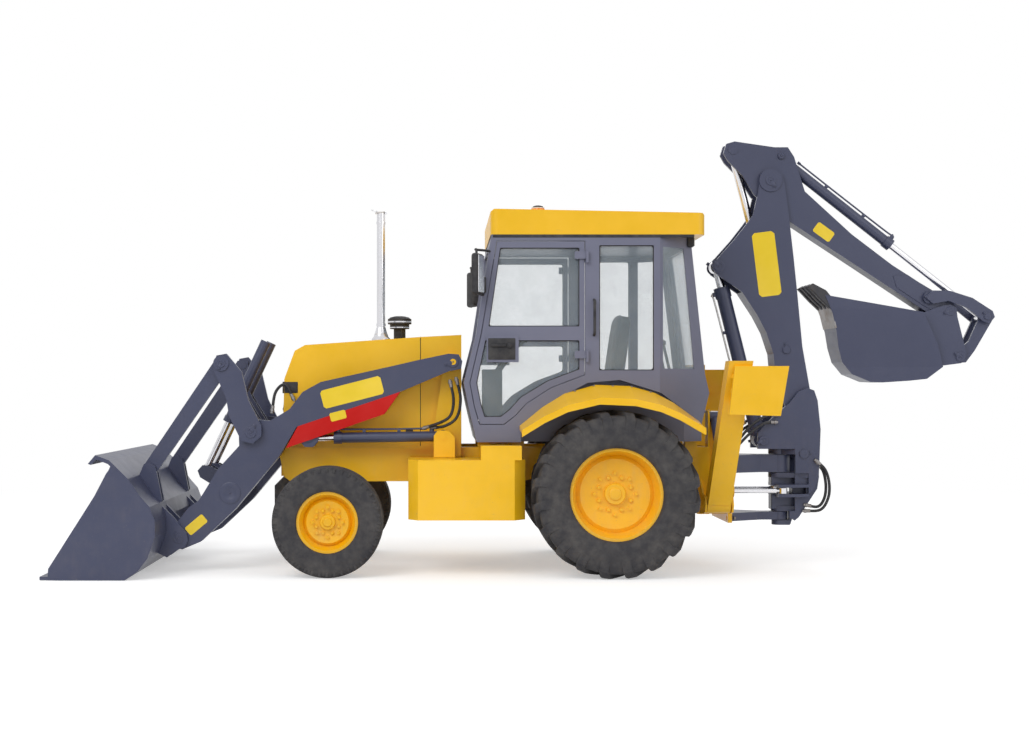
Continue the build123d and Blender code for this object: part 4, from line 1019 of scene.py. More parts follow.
PINS = (
    Pin("lift_arms", "lift_arms", -1265, 1695, 46, 200),
    Pin("lift_arms", "lift_arms", -2426, 1079, 34, 90),
    Pin("lift_arms", "lift_arms", -3060, 640, 88, None),
    Pin("loader_bucket", "loader_bucket", -3467, 275, 38, 120),
    Pin("bucket_rocker", "bucket_rocker", -2886, 1129, 46, 60),
    Pin("bucket_rocker", "bucket_rocker", -3122, 1683, 34, 250),
    Pin("swing_post", "swing_post", 1674, 933, 42, 10),
    Pin("swing_post", "swing_post", 1335, 1045, 38, 200),
    Pin("boom", "boom", 971, 2507, 46, 140),
    Pin("boom", "boom", 1405, 3228, 44, 300),
    Pin("boom", "boom", 1537, 1806, 36, 100),
    Pin("dipper", "dipper", 1501, 3439, 27, None),
    Pin("dipper", "dipper", 2739, 2246, 34, None),
    Pin("hoe_bucket", "hoe_bucket", 2914, 2131, 38, 200),
    Pin("hoe_bucket", "hoe_bucket", 2999, 1747, 38, 150),
    Pin("idler_links", "idler_links", 3218, 2085, 34, 140),
)


@dataclass
class PinCaps:
    """Turned caps on the pin ends, each with a grease nipple, and most with a bolted keeper plate."""

    height: float = 0.006

    def build(self, finishes: Finishes) -> None:
        """Makes one piece for each body that carries pins.

        Args:
            finishes: the machine's finishes.
        """
        for body in sorted({pin.body for pin in PINS}):
            caps, small = Surface(), Surface()
            for pin in (p for p in PINS if p.body == body):
                for side in Side:
                    self.cap(caps, small, pin, side)
            caps.put(f"{body}_pin_caps", body, Slot.SLATE, finishes.slate)
            small.put(f"{body}_pin_keepers", body, Slot.SLATE, finishes.slate)

    def cap(self, caps: Surface, small: Surface, pin: Pin, side: Side) -> None:
        """One cap: a disc with a chamfer and a shallow dish, seated where the pin's line meets its node.

        Args:
            caps: surface for the painted discs.
            small: surface for the keeper, bolt and nipple.
            pin: the pin.
            side: which end.
        """
        out = np.array([0.0, side.value, 0.0])
        r, h = pin.radius / 1000, self.height
        centre = at(pin.x, OUTSIDE * side.value, pin.z)
        rim = [meets(pin.node, centre + r * 0.93 * np.array([math.cos(a), 0.0, math.sin(a)]),
                     tuple(-out)) @ out for a in (0.4, 2.5, 4.6)]
        face = centre * np.array([1.0, 0.0, 1.0]) + max(rim) * out
        lathe(caps, face, out, [(0, -0.001), (r, -0.001), (r, h * 0.6), (r * 0.93, h), (r * 0.55, h),
                                (r * 0.50, h * 0.6), (0, h * 0.6)], 36)
        lathe(small, face, out, [(0, h * 0.5), (0.006, h * 0.5), (0.006, h + 0.002), (0.003, h + 0.004),
                                 (0.004, h + 0.007), (0, h + 0.008)], 10)
        if pin.keeper is None:
            return
        turn = turn_about_y(-pin.keeper)
        reach = turn @ np.array([r * 1.25, 0.0, 0.0])
        rounded_box(small, face + reach * 0.72 + out * (h * 0.75), (r * 1.35, h * 0.9, r * 0.62), 0.002, 2,
                    turn)
        hex_bolt(small, face + reach * 1.02 + out * (h * 1.1), out, 0.013)


# ---------------------------------------------------------------- hydraulic cylinders
@dataclass(frozen=True)
class Ram:
    """One hydraulic cylinder: its base and eye lines, its places across and its sizes, in millimetres."""

    body: str
    base: tuple[float, float]
    eye: tuple[float, float]
    across: tuple[float, ...]
    length: float
    outer: float
    rod: float
    pin: float
    ports: float
    bright: bool = False

    def fittings(self, finishes: Finishes) -> None:
        """Adds the wiper ring, the two port bosses with their unions, and the pressed steel pipe along the
        barrel.

        Args:
            finishes: the machine's finishes.
        """
        way = at(self.eye[0], 0, self.eye[1]) - at(self.base[0], 0, self.base[1])
        way /= np.linalg.norm(way)
        out = self.ports * np.array([-way[2], 0.0, way[0]])
        outer, rod = self.outer / 1000, self.rod / 1000
        far, near = (self.length - 0.75 * self.outer) / 1000, (self.pin + 62) / 1000
        metal, ring, boss = Surface(), Surface(), Surface()
        for y in self.across:
            base = at(self.base[0], y, self.base[1])
            tip = base + way * (self.length / 1000)
            lathe(ring, tip, way, [(rod + 0.001, 0), (outer * 0.92, 0), (outer * 0.88, 0.003),
                                   (rod + 0.001, 0.003), (rod + 0.001, 0)], 32)
            for place, wall in ((far, outer + 0.008), (near, outer)):
                lathe(boss, base + way * place, out, [(0, wall * 0.8), (0.019, wall * 0.8),
                                                      (0.019, wall + 0.016), (0.014, wall + 0.020),
                                                      (0, wall + 0.020)], 16)
                lathe(metal, base + way * place, out, [(0, wall + 0.018), (0.014, wall + 0.018),
                                                       (0.014, wall + 0.026), (0, wall + 0.026)], 6)
            lift = outer + 0.034
            route = ((far, -0.002), (far - 0.012, 0.003), (far - 0.060, -0.008), (far * 0.5, -0.012),
                     (near + 0.075, -0.012))
            path = smooth_path([base + way * along + out * (lift + rise) for along, rise in route], 6)
            tube(metal, path, 0.0075, 12)
            lathe(metal, path[-1], way, [(0, -0.016), (0.012, -0.016), (0.012, 0.012), (0, 0.012)], 6)
            for share in (0.35, 0.72):
                rounded_box(boss, base + way * (near + (far - near) * share) + out * (outer + 0.010),
                            (0.026, 0.030, 0.026), 0.004, 2)
        ring.put(f"{self.body}_wipers", self.body, Slot.PLASTIC, finishes.seal)
        boss.put(f"{self.body}_ports", self.body, Slot.SLATE, finishes.slate)
        metal.put(f"{self.body}_pipes", self.body, Slot.STEEL,
                  finishes.steel if self.bright else finishes.slate)


RAMS = (
    Ram("lift_barrels", (-1346, 1095), (-2426, 1079), (-570, 570), 880, 42, 28, 28, -1.0),
    Ram("boom_barrel", (1335, 1045), (971, 2507), (0,), 1330, 60, 35, 36, 1.0, True),
    Ram("crowd_barrel", (1537, 1806), (1097, 3496), (0,), 930, 50, 32, 30, 1.0),
    Ram("hoe_ram_barrel", (1501, 3439), (3218, 2085), (0,), 1204, 44, 28, 30, 1.0),
)


# ---------------------------------------------------------------- hydraulic hoses
@dataclass
class Hose:
    """A hydraulic hose between two fittings, laid over the joint between them if it has a second body; such a hose
    rides on no body.
    """

    name: str
    route: list[Place]
    body: str
    second: str | None = None
    radius: float = 0.012

    def build(self, finishes: Finishes) -> bpy.types.Object:
        """Makes the hose with a crimped steel end at each fitting.

        Args:
            finishes: the machine's finishes.
        Returns:
            the hose.
        """
        path = smooth_path([at(*point) for point in self.route])
        surface = tube(Surface(), path, self.radius)
        if self.second is None:
            piece = surface.put(self.name, self.body, Slot.PLASTIC, finishes.hose)
        else:
            piece = surface.put(self.name, None, Slot.PLASTIC, finishes.hose)
            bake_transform(piece)
        for tip, inner, body, mark in ((path[0], path[2], self.body, "a"),
                                       (path[-1], path[-3], self.second or self.body, "b")):
            ends = Surface()
            way = (inner - tip) / np.linalg.norm(inner - tip)
            r = self.radius
            lathe(ends, tip, way, [(0, -0.012), (r * 1.1, -0.012), (r * 1.1, 0.0), (r * 1.5, 0.002),
                                   (r * 1.5, 0.018), (r * 1.25, 0.020), (r * 1.25, 0.050), (r, 0.052),
                                   (0, 0.052)], 12)
            ends.put(f"{self.name}_end_{mark}", body, Slot.STEEL, finishes.worn_steel)
        return piece


def on_both_sides(stem: str, routes: dict[str, list[Place]], body: str,
                  second: str | None = None) -> list[Hose]:
    """Hoses that run alike on the left and the right.

    Args:
        stem: start of their names.
        routes: ending of the name to the left hose's route.
        body: the body of the first fitting.
        second: the body of the last fitting, where it is another one.
    Returns:
        the left hoses, then the right ones.
    """
    return [Hose(f"{stem}_{side.word}{mark}", [(x, -side.value * y, z) for x, y, z in route], body, second)
            for side in Side for mark, route in routes.items()]


HOSES = (
    *on_both_sides("lift_hose", {
        "_one": [(-1240, -655, 1560), (-1205, -662, 1400), (-1235, -655, 1250), (-1330, -640, 1180),
                 (-1437, -570, 1163)],
        "_two": [(-1290, -655, 1540), (-1262, -668, 1400), (-1280, -665, 1275), (-1350, -650, 1215),
                 (-1500, -575, 1160)]}, "root", "lift_barrels"),
    *on_both_sides("tilt_hose", {
        "": [(-2560, -488, 1390), (-2632, -474, 1512), (-2712, -462, 1450), (-2738, -486, 1290)]},
        "lift_arms"),
    Hose("post_hose_one", [(1778, -143, 858), (1838, -145, 790), (1862, -146, 670), (1848, -146, 560),
                           (1795, -144, 492), (1690, -136, 505)], "swing_post"),
    Hose("post_hose_two", [(1770, -174, 880), (1850, -174, 800), (1884, -172, 680), (1874, -168, 560),
                           (1812, -160, 466), (1680, -140, 455)], "swing_post"),
    *on_both_sides("swing_hose", {
        "_one": [(1052, -185, 930), (1120, -200, 1010), (1230, -205, 1120), (1340, -190, 1190),
                 (1440, -172, 1200)],
        "_two": [(1052, -150, 940), (1120, -165, 1040), (1230, -180, 1170), (1350, -180, 1250),
                 (1450, -172, 1262)]},
        "root", "swing_post"),
)


# ---------------------------------------------------------------- bare plates
@dataclass(frozen=True)
class BarePlate:
    """A thin plain plate on a piece's outer face: its place and size in millimetres, and its slope."""

    name: str
    node: str
    body: str
    x: float
    z: float
    size: tuple[float, float]
    slope: float
    finish: str = "label"
    raised: float = 0.0015

    def build(self, finishes: Finishes) -> None:
        """Makes the plate on both sides: a rectangle with cut corners, turned by its slope.

        Args:
            finishes: the machine's finishes.
        """
        half_l, half_h = self.size[0] / 2, self.size[1] / 2
        cut = min(self.size) * 0.12
        corners = [(-half_l + cut, -half_h), (half_l - cut, -half_h), (half_l, -half_h + cut),
                   (half_l, half_h - cut), (half_l - cut, half_h), (-half_l + cut, half_h),
                   (-half_l, half_h - cut), (-half_l, -half_h + cut)]
        a = math.radians(self.slope)
        turn = np.array([[math.cos(a), math.sin(a)], [-math.sin(a), math.cos(a)]])
        flat = np.array(corners) @ turn + np.array([self.x + REAR_AXLE_X, self.z])
        surface = Surface()
        for side in Side:
            out = (0.0, -side.value, 0.0)
            face = meets(self.node, at(self.x, OUTSIDE * side.value, self.z), out)[1]
            plate(surface, (flat / 1000).tolist(), face - side.value * 0.0005,
                  face + side.value * self.raised, 0.0004)
        surface.put(self.name, self.body, Slot.YELLOW, getattr(finishes, self.finish))


BARE_PLATES = (
    BarePlate("arm_plate", "lift_arms", "lift_arms", -2077, 1450, (500, 150), 14.5),
    BarePlate("arm_tip_plate", "lift_arms", "lift_arms", -3330, 385, (180, 80), 40),
    BarePlate("strut_plate", "safety_struts", "lift_arms", -2190, 1262, (130, 70), 14.5),
    BarePlate("boom_plate", "boom", "boom", 1372, 2525, (190, 540), 7),
    BarePlate("dipper_plate", "dipper", "dipper", 1859, 2797, (170, 95), -36),
    BarePlate("tank_plate", "side_boxes", "root", -1170, 765, (500, 90), 0, "yellow"),
)


# ---------------------------------------------------------------- swing post
@dataclass
class PostColumn:
    """The swing post's lower column: side plates behind the lugs, and webs round the kingpin."""

    side_face: float = 128.0
    side_thick: float = 14.0
    column: Outline = ((1606, 880), (1606, 672), (1700, 672), (1700, 578), (1606, 578), (1606, 455),
                       (1560, 452), (1560, 400), (1606, 372), (1640, 400), (1795, 640), (1810, 740),
                       (1806, 785), (1700, 835))
    web: Outline = ((1425, 590), (1425, 462), (1612, 462), (1612, 590))
    web_top: Outline = ((1425, 764), (1425, 662), (1612, 662), (1612, 764))
    back: Outline = ((1640, 404), (1795, 644), (1808, 742), (1804, 782), (1788, 782), (1790, 744),
                     (1780, 652), (1630, 418))

    def build(self, finishes: Finishes) -> None:
        """Adds the side plates, the back plate between them and the webs.

        Args:
            finishes: the machine's finishes.
        """
        surface = Surface()
        for side in Side:
            y = side.value * self.side_face / 1000
            plate(surface, metres(self.column), y, y - side.value * self.side_thick / 1000, 0.002)
        for outline in (self.web, self.web_top):
            plate(surface, metres(outline), -0.058, 0.058, 0.006)
        plate(surface, metres(self.back), -0.120, 0.120, 0.002)
        surface.put("post_column", "swing_post", Slot.SLATE, finishes.slate)


@dataclass(frozen=True)
class Doubler:
    """A welded plate on a piece's outer faces: its (x, z) outline and its thickness, in millimetres."""

    name: str
    node: str
    body: str
    outline: Outline
    seat: tuple[float, float]
    thick: float = 5.0

    def build(self, finishes: Finishes) -> None:
        """Makes the plate on both sides, sunk a little into the face, with a bevelled weld edge.

        Args:
            finishes: the machine's finishes.
        """
        surface = Surface()
        flat = metres(self.outline)
        for side in Side:
            out = side.value
            face = meets(self.node, at(self.seat[0], OUTSIDE * out, self.seat[1]), (0.0, -out, 0.0))[1]
            plate(surface, flat, face - out * 0.001, face + out * self.thick / 1000, 0.003)
        surface.put(self.name, self.body, Slot.SLATE, finishes.slate)


DOUBLERS = (
    Doubler("dipper_doubler", "dipper", "dipper",
            ((2440, 2430), (2560, 2440), (2790, 2290), (2850, 2200), (2800, 2120), (2700, 2175),
             (2470, 2330)),
            (2600, 2330), 5),
)


# ---------------------------------------------------------------- cab
@dataclass
class CabFittings:
    """Seals, door furniture, mirrors, handles, roof lamps and the drip strip; sizes in millimetres."""

    half: float = 780.0
    roof_low: float = 2705.0
    seal: float = 7.0
    corner_cut: float = 26.0
    mirror_turn: float = 0.35
    upper_pane: Outline = ((-893, 2600), (-985, 1974), (-262, 1974), (-262, 2600))
    lower_pane: Outline = ((-1010, 1864), (-1082, 1526), (-1046, 1345), (-1018, 1255), (-885, 1255),
                           (-815, 1310), (-725, 1410), (-510, 1540), (-262, 1632), (-262, 1864))
    rear_pane: Outline = ((-104, 1625), (-104, 2620), (330, 2620), (330, 1625))

    def build(self, finishes: Finishes) -> None:
        """Makes every fitting of the cab.

        Args:
            finishes: the machine's finishes.
        """
        self.seals(finishes)
        self.doors(finishes)
        self.mirrors(finishes)
        self.roof(finishes)

    def loop(self, surface: Surface, outline: Outline, y: float) -> None:
        """A rubber bead round an opening: a closed outline with its corners cut, carried as a tube.

        Args:
            surface: the surface to add to.
            outline: (x, z) points.
            y: the place across.
        """
        p = np.array(outline, dtype=float)
        ahead, behind = np.roll(p, -1, axis=0), np.roll(p, 1, axis=0)
        lead = p + (behind - p) / np.linalg.norm(behind - p, axis=1)[:, None] * self.corner_cut
        trail = p + (ahead - p) / np.linalg.norm(ahead - p, axis=1)[:, None] * self.corner_cut
        middle = p * 0.5 + (lead + trail) * 0.25
        flat = np.stack([lead, middle, trail], axis=1).reshape(-1, 2)
        flat = np.concatenate([flat, flat[:2]])
        path = np.stack([at(x, y, z) for x, z in flat])
        tube(surface, path, self.seal / 1000, 8)

    def seals(self, finishes: Finishes) -> None:
        """Rubber beads round the panes of the doors and of the cab's sides.

        Args:
            finishes: the machine's finishes.
        """
        fixed = Surface()
        for side in Side:
            y = side.value * (self.half - 10)
            leaf = Surface()
            self.loop(leaf, self.upper_pane, y)
            self.loop(leaf, self.lower_pane, y)
            leaf.put(f"door_seal_{side.word}", f"door_{side.word}", Slot.PLASTIC, finishes.seal)
            self.loop(fixed, self.rear_pane, y)
        fixed.put("pane_seals", "root", Slot.PLASTIC, finishes.seal)

    def doors(self, finishes: Finishes) -> None:
        """The door's black lock plate with its recess and lever, and the grab handle on the post behind it.

        Args:
            finishes: the machine's finishes.
        """
        rails = Surface()
        for side in Side:
            out = side.value
            lock = Surface()
            y = out * (self.half + 16)
            rounded_box(lock, at(-880, y, 1795), (0.215, 0.012, 0.170), 0.006, 3)
            rounded_box(lock, at(-905, y + out * 10, 1822), (0.120, 0.018, 0.026), 0.008, 3)
            lathe(lock, at(-815, y, 1822), np.array([0.0, out, 0.0]), [(0, 0), (0.022, 0), (0.022, 0.016),
                                                                      (0.016, 0.020), (0, 0.020)], 24)
            lathe(lock, at(-845, y, 1760), np.array([0.0, out, 0.0]), [(0, 0), (0.013, 0), (0.013, 0.010),
                                                                      (0, 0.010)], 20)
            lock.put(f"door_lock_{side.word}", f"door_{side.word}", Slot.PLASTIC, finishes.black)
            top, low = 2185, 1905
            route = ((-2, low), (38, low + 12), (44, low + 50), (44, top - 50), (38, top - 12), (-2, top))
            path = smooth_path([at(-145, out * (self.half + gap), z) for gap, z in route], 6)
            tube(rails, path, 0.011, 14)
        rails.put("grab_handles", "root", Slot.PLASTIC, finishes.black)

    def mirrors(self, finishes: Finishes) -> None:
        """Mirror heads on two bent tubes at the front posts, each with its glass facing back.

        Args:
            finishes: the machine's finishes.
        """
        heads, faces = Surface(), Surface()
        for side in Side:
            out = side.value
            cosine, sine = math.cos(self.mirror_turn * out), math.sin(self.mirror_turn * out)
            turn = np.array([[cosine, -sine, 0.0], [sine, cosine, 0.0], [0.0, 0.0, 1.0]])
            centre = at(-1075, out * 935, 2380)
            rounded_box(heads, centre, (0.060, 0.165, 0.320), 0.024, 4, turn)
            rounded_box(faces, centre + turn @ np.array([0.0305, 0.0, 0.0]), (0.004, 0.140, 0.290), 0.0015, 1,
                        turn)
            for z, x in ((2570, -983), (2225, -1033)):
                path = smooth_path([at(x + 14, out * (self.half - 12), z),
                                    at(x - 25, out * (self.half + 30), z + 4), at(-1085, out * 880, z + 4),
                                    at(-1085, out * 925, z), at(-1082, out * 935, 2380 + (z - 2380) * 0.75)],
                                   6)
                tube(heads, path, 0.010, 12)
            rounded_box(heads, at(-1040, out * 812, 2300), (0.070, 0.060, 0.130), 0.014, 3)
        heads.put("mirror_heads", "root", Slot.PLASTIC, finishes.black)
        faces.put("mirror_faces", "root", Slot.CHROME, finishes.chrome)

    def roof(self, finishes: Finishes) -> None:
        """Drip strip under the roof, the beacon with its base and cap, two vent domes and the rear work
        lamps.

        Args:
            finishes: the machine's finishes.
        """
        dark, amber, glass = Surface(), Surface(), Surface()
        for side in Side:
            rounded_box(dark, at(-150, side.value * (self.half - 1), self.roof_low - 12),
                        (1.60, 0.012, 0.024), 0.004, 2)
        rounded_box(dark, at(-958, 0, self.roof_low - 12), (0.014, 1.50, 0.024), 0.004, 2)
        rounded_box(dark, at(648, 0, self.roof_low - 12), (0.014, 0.90, 0.024), 0.004, 2)
        up = np.array([0.0, 0.0, 1.0])
        place = at(-560, -300, 2895)
        lathe(dark, place, up, [(0, 0), (0.072, 0), (0.072, 0.022), (0.062, 0.030), (0, 0.030)], 32)
        lathe(amber, place, up, [(0, 0.028), (0.0575, 0.028), (0.0585, 0.05), (0.057, 0.068), (0.050, 0.081),
                                 (0, 0.0815)], 32)
        lathe(dark, place, up, [(0, 0.080), (0.047, 0.080), (0.040, 0.092), (0.020, 0.098), (0, 0.099)], 32)
        for x in (-310, -30):
            low = meets("lamps", at(x, -300, 3400), (0.0, 0.0, -1.0))
            lathe(dark, low, up, [(0, -0.03), (0.114, -0.03), (0.114, -0.004), (0.100, 0.006), (0.060, 0.012),
                                  (0, 0.014)], 40)
        for side in Side:
            lamp = at(652, side.value * 560, 2664)
            rounded_box(dark, lamp, (0.060, 0.115, 0.085), 0.016, 3)
            rounded_box(glass, lamp + np.array([0.029, 0.0, 0.0]), (0.008, 0.095, 0.066), 0.003, 2)
            rounded_box(dark, lamp + np.array([-0.02, 0.0, 0.044]), (0.02, 0.03, 0.02), 0.003, 2)
        dark.put("roof_dark_fittings", "root", Slot.PLASTIC, finishes.black)
        amber.put("beacon_lens", "root", Slot.LENS, finishes.amber)
        glass.put("work_lamp_glass", "root", Slot.LENS, finishes.lens)


# ---------------------------------------------------------------- seat
@dataclass
class Seat:
    """The operator's padded seat; sizes in metres."""

    power: float = 0.30
    pleats: int = 5

    def cushion(self, surface: Surface, half: Place, turn: np.ndarray,
                middle: np.ndarray) -> None:
        """A superellipsoid pillow: each cosine and sine is raised to a small power with its sign kept, and
        the top and bottom rise and fall with a cosine across, which makes the pleats.

        Args:
            surface: the surface to add to.
            half: half sizes along its own x, y and z.
            turn: a 3 x 3 matrix that turns it.
            middle: its middle.
        """
        lat = np.linspace(-np.pi / 2 + 1e-3, np.pi / 2 - 1e-3, 65)[:, None]
        lon = np.linspace(0, 2 * np.pi, 160, endpoint=False)[None, :]

        def soft(value: np.ndarray) -> np.ndarray:
            """The value raised to the power, with its sign kept."""
            return np.sign(value) * np.abs(value) ** self.power

        x = half[0] * soft(np.cos(lat)) * soft(np.cos(lon))
        y = half[1] * soft(np.cos(lat)) * soft(np.sin(lon))
        face = soft(np.sin(lat))
        edge = np.clip(1 - (x / half[0]) ** 4, 0, 1) * np.clip(1 - (y / half[1]) ** 4, 0, 1)
        wave = np.abs(np.cos(np.pi * self.pleats * x / (2 * half[0]))) ** 0.6
        crown = np.sign(face) * 0.012 * edge * (np.abs(face) > 0.7)
        z = half[2] * face * (1 - edge * 0.10 * (1 - wave)) + crown
        points = np.stack(np.broadcast_arrays(x, y, z), axis=-1) @ turn.T + middle
        rows, columns = points.shape[:2]
        faces = grid_faces(rows, columns, False, True).tolist()
        faces.append(list(range(columns))[::-1])
        faces.append([(rows - 1) * columns + j for j in range(columns)])
        surface.add(points, faces)

    def piping(self, surface: Surface, half: Place, turn: np.ndarray, middle: np.ndarray) -> None:
        """The welt round a cushion: a superellipse loop at its middle height, carried as a thin tube.

        Args:
            surface: the surface to add to.
            half: half sizes of the cushion.
            turn: a 3 x 3 matrix that turns it.
            middle: its middle.
        """
        a = np.linspace(0, 2 * np.pi, 121)
        ring = np.stack([half[0] * np.sign(np.cos(a)) * np.abs(np.cos(a)) ** self.power,
                         half[1] * np.sign(np.sin(a)) * np.abs(np.sin(a)) ** self.power,
                         np.full_like(a, half[2] * 0.55)], axis=1)
        tube(surface, ring @ turn.T + middle, 0.006, 8)

    def build(self, finishes: Finishes) -> None:
        """Makes the base and back cushions and hides their plain solid.

        Args:
            finishes: the machine's finishes.
        """
        flat, upright = np.eye(3), turn_about_y(8.0) @ turn_about_y(-90.0)
        cushions = (("seat_base_cushion", (0.235, 0.250, 0.068), flat, at(-225, 0, 1397)),
                    ("seat_back_cushion", (0.300, 0.240, 0.058), upright, at(130, 0, 1790)))
        for name, half, turn, middle in cushions:
            surface = Surface()
            self.cushion(surface, half, turn, middle)
            self.piping(surface, half, turn, middle)
            piece = surface.put(name, "root", Slot.VINYL, finishes.vinyl, 60)
            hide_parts("seat_cushions")


# ---------------------------------------------------------------- hood, exhaust and front
@dataclass
class FrontFittings:
    """Headlamps, grille backing, hood seam, exhaust trim and pre-cleaner ring; sizes in millimetres."""

    nose: float = -2650.0
    lamp_y: float = 342.0
    lamp_z: float = 1489.0

    def build(self, finishes: Finishes) -> None:
        """Makes every fitting of the front.

        Args:
            finishes: the machine's finishes.
        """
        self.lamps(finishes)
        self.seams(finishes)
        self.stack(finishes)

    def lamps(self, finishes: Finishes) -> None:
        """Black lamp frames and side covers, ribbed lenses, and the dark mesh behind the grille's slots.

        Args:
            finishes: the machine's finishes.
        """
        dark, lens = Surface(), Surface()
        for side in Side:
            y = side.value * self.lamp_y
            for dy, dz, wide, high in ((0, 42, 0.124, 0.012), (0, -42, 0.124, 0.012), (57, 0, 0.012, 0.096),
                                       (-57, 0, 0.012, 0.096)):
                rounded_box(dark, at(self.nose - 1, y + dy, self.lamp_z + dz), (0.022, wide, high), 0.004, 2)
            for k in range(7):
                rounded_box(lens, at(self.nose - 1, y - 42 + 14 * k, self.lamp_z), (0.008, 0.013, 0.078),
                            0.003, 2)
            rounded_box(dark, at(-2590, side.value * 420, self.lamp_z), (0.112, 0.006, 0.092), 0.003, 2)
        rounded_box(dark, at(-2634, 0, 1262), (0.004, 0.500, 0.400), 0.0015, 1)
        dark.put("lamp_frames", "root", Slot.PLASTIC, finishes.black)
        lens.put("lamp_lenses", "root", Slot.LENS, finishes.lens)

    def seams(self, finishes: Finishes) -> None:
        """The joint line between the hood and its rear panel, sunk by half its thickness, and latch handles.

        Args:
            finishes: the machine's finishes.
        """
        dark = Surface()
        line = [at(-1530, y, z) for y, z in ((-420, 1010), (-420, 1895), (-412, 1903), (412, 1903),
                                             (420, 1895), (420, 1010))]
        tube(dark, np.stack(line), 0.0028, 8)
        for side in Side:
            for x in (-2380, -1620):
                rounded_box(dark, at(x, side.value * 423, 1130), (0.060, 0.012, 0.026), 0.005, 3)
        dark.put("hood_seams", "root", Slot.PLASTIC, finishes.seal)

    def stack(self, finishes: Finishes) -> None:
        """Bright exhaust: a cone where it leaves the hood, a clamp, the rain flap's hinge; and the pre-
        cleaner's ring.

        Args:
            finishes: the machine's finishes.
        """
        bright, dark = Surface(), Surface()
        up, foot = np.array([0.0, 0.0, 1.0]), at(-1862, -200, 1880)
        lathe(bright, foot, up, [(0.034, 0), (0.078, 0), (0.078, 0.014), (0.062, 0.030), (0.047, 0.075),
                                 (0.038, 0.110), (0.034, 0.110), (0.034, 0)], 40)
        tube(bright, np.stack([at(-1862, -200, 1900), at(-1862, -200, 2938)]), 0.0345, 40)
        for z in (2010, 2860):
            lathe(bright, at(-1862, -200, z), up, [(0.033, -0.011), (0.039, -0.011), (0.039, 0.011),
                                                   (0.033, 0.011), (0.033, -0.011)], 36)
        lathe(dark, at(-1862, -200, 2938), up, [(0, 0.0), (0.030, 0.0), (0.030, 0.002), (0, 0.002)], 32)
        rounded_box(bright, at(-1822, -200, 2946), (0.020, 0.050, 0.022), 0.005, 2)
        lathe(bright, at(-1902, -200, 2952), np.array([0.30, 0.0, 1.0]), [(0, 0), (0.046, 0), (0.046, 0.006),
                                                                         (0, 0.006)], 32)
        lathe(bright, at(-1712, 0, 2036), up, [(0.098, 0), (0.1025, 0.001), (0.1025, 0.013), (0.098, 0.014),
                                               (0.098, 0)], 48)
        lathe(dark, at(-1712, 0, 2060), up, [(0, 0), (0.098, 0), (0.098, 0.006), (0.080, 0.022),
                                             (0.040, 0.032), (0, 0.034)], 48)
        lathe(bright, at(-1712, 0, 1992), up, [(0.080, 0), (0.0845, 0), (0.0845, 0.008), (0.080, 0.008),
                                               (0.080, 0)], 48)
        bright.put("exhaust_trim", "root", Slot.CHROME, finishes.chrome)
        dark.put("cleaner_cap", "root", Slot.PLASTIC, finishes.black)


# ---------------------------------------------------------------- hoe bucket
@dataclass
class HoeTeeth:
    """Cast tooth caps on the hoe bucket and its worn cutting edge; sizes in millimetres."""

    teeth: int = 4
    spread: float = 340.0
    half_thick: float = 31.0
    pin_radius: float = 11.0
    pin_proud: float = 3.0
    edge_half: float = 196.0
    cap: Outline = ((1699, 2334), (1742, 2358), (1852, 2300), (1902, 2238), (1930, 2162), (1893, 2138),
                    (1800, 2226))
    edge: Outline = ((1834, 2268), (1899, 2104), (1928, 1985), (1941, 1988), (1912, 2112), (1846, 2274))

    def build(self, finishes: Finishes) -> None:
        """Adds a cap with its cross pin over each tooth, and the strip behind them.

        Args:
            finishes: the machine's finishes.
        """
        caps, edge = Surface(), Surface()
        r, reach = self.pin_radius / 1000, 2 * (self.half_thick + self.pin_proud) / 1000
        for k in range(self.teeth):
            y = (k - (self.teeth - 1) / 2) * self.spread / (self.teeth - 1)
            plate(caps, metres(self.cap), (y - self.half_thick) / 1000, (y + self.half_thick) / 1000, 0.006)
            lathe(caps, at(1868, y - self.half_thick - self.pin_proud, 2218), np.array([0.0, 1.0, 0.0]),
                  [(0, 0), (r, 0), (r, reach), (0, reach)], 16)
        plate(edge, metres(self.edge), -self.edge_half / 1000, self.edge_half / 1000, 0.001)
        caps.put("hoe_tooth_caps", "hoe_bucket", Slot.CAST, finishes.cast)
        edge.put("hoe_cutting_edge", "hoe_bucket", Slot.STEEL, finishes.worn_steel)


# ---------------------------------------------------------------- bolts and edges
@dataclass(frozen=True)
class BoltRow:
    """A straight row of bolts on a node's face, from one place to another, in millimetres."""

    name: str
    node: str
    body: str
    first: Place
    last: Place
    count: int
    way: Place
    across: float = 0.018
    mirrored: bool = True

    def build(self, finishes: Finishes) -> None:
        """Seats each bolt where its line meets the node, and repeats the row on the other side if mirrored.

        Args:
            finishes: the machine's finishes.
        """
        surface = Surface()
        flips = (1.0, -1.0) if self.mirrored else (1.0,)
        for flip in flips:
            sign = np.array([1.0, flip, 1.0])
            way = np.array(self.way) * sign
            for t in np.linspace(0, 1, self.count):
                start = at(*((1 - t) * np.array(self.first) + t * np.array(self.last))) * sign - way
                hex_bolt(surface, meets(self.node, start, tuple(way)), -way, self.across)
        surface.put(self.name, self.body, Slot.STEEL, finishes.worn_steel)


BOLT_ROWS = (
    BoltRow("swing_plate_low_bolts", "swing_frame", "root", (1050, -205, 400), (1050, -205, 500), 2,
            (-1.0, 0.0, 0.0), 0.024),
    BoltRow("swing_plate_high_bolts", "swing_frame", "root", (1050, -205, 790), (1050, -205, 890), 2,
            (-1.0, 0.0, 0.0), 0.024),
    BoltRow("fender_bolts", "rear_fenders", "root", (-300, -800, 1440), (300, -800, 1440), 5,
            (0.0, 0.0, -1.0), 0.014),
)


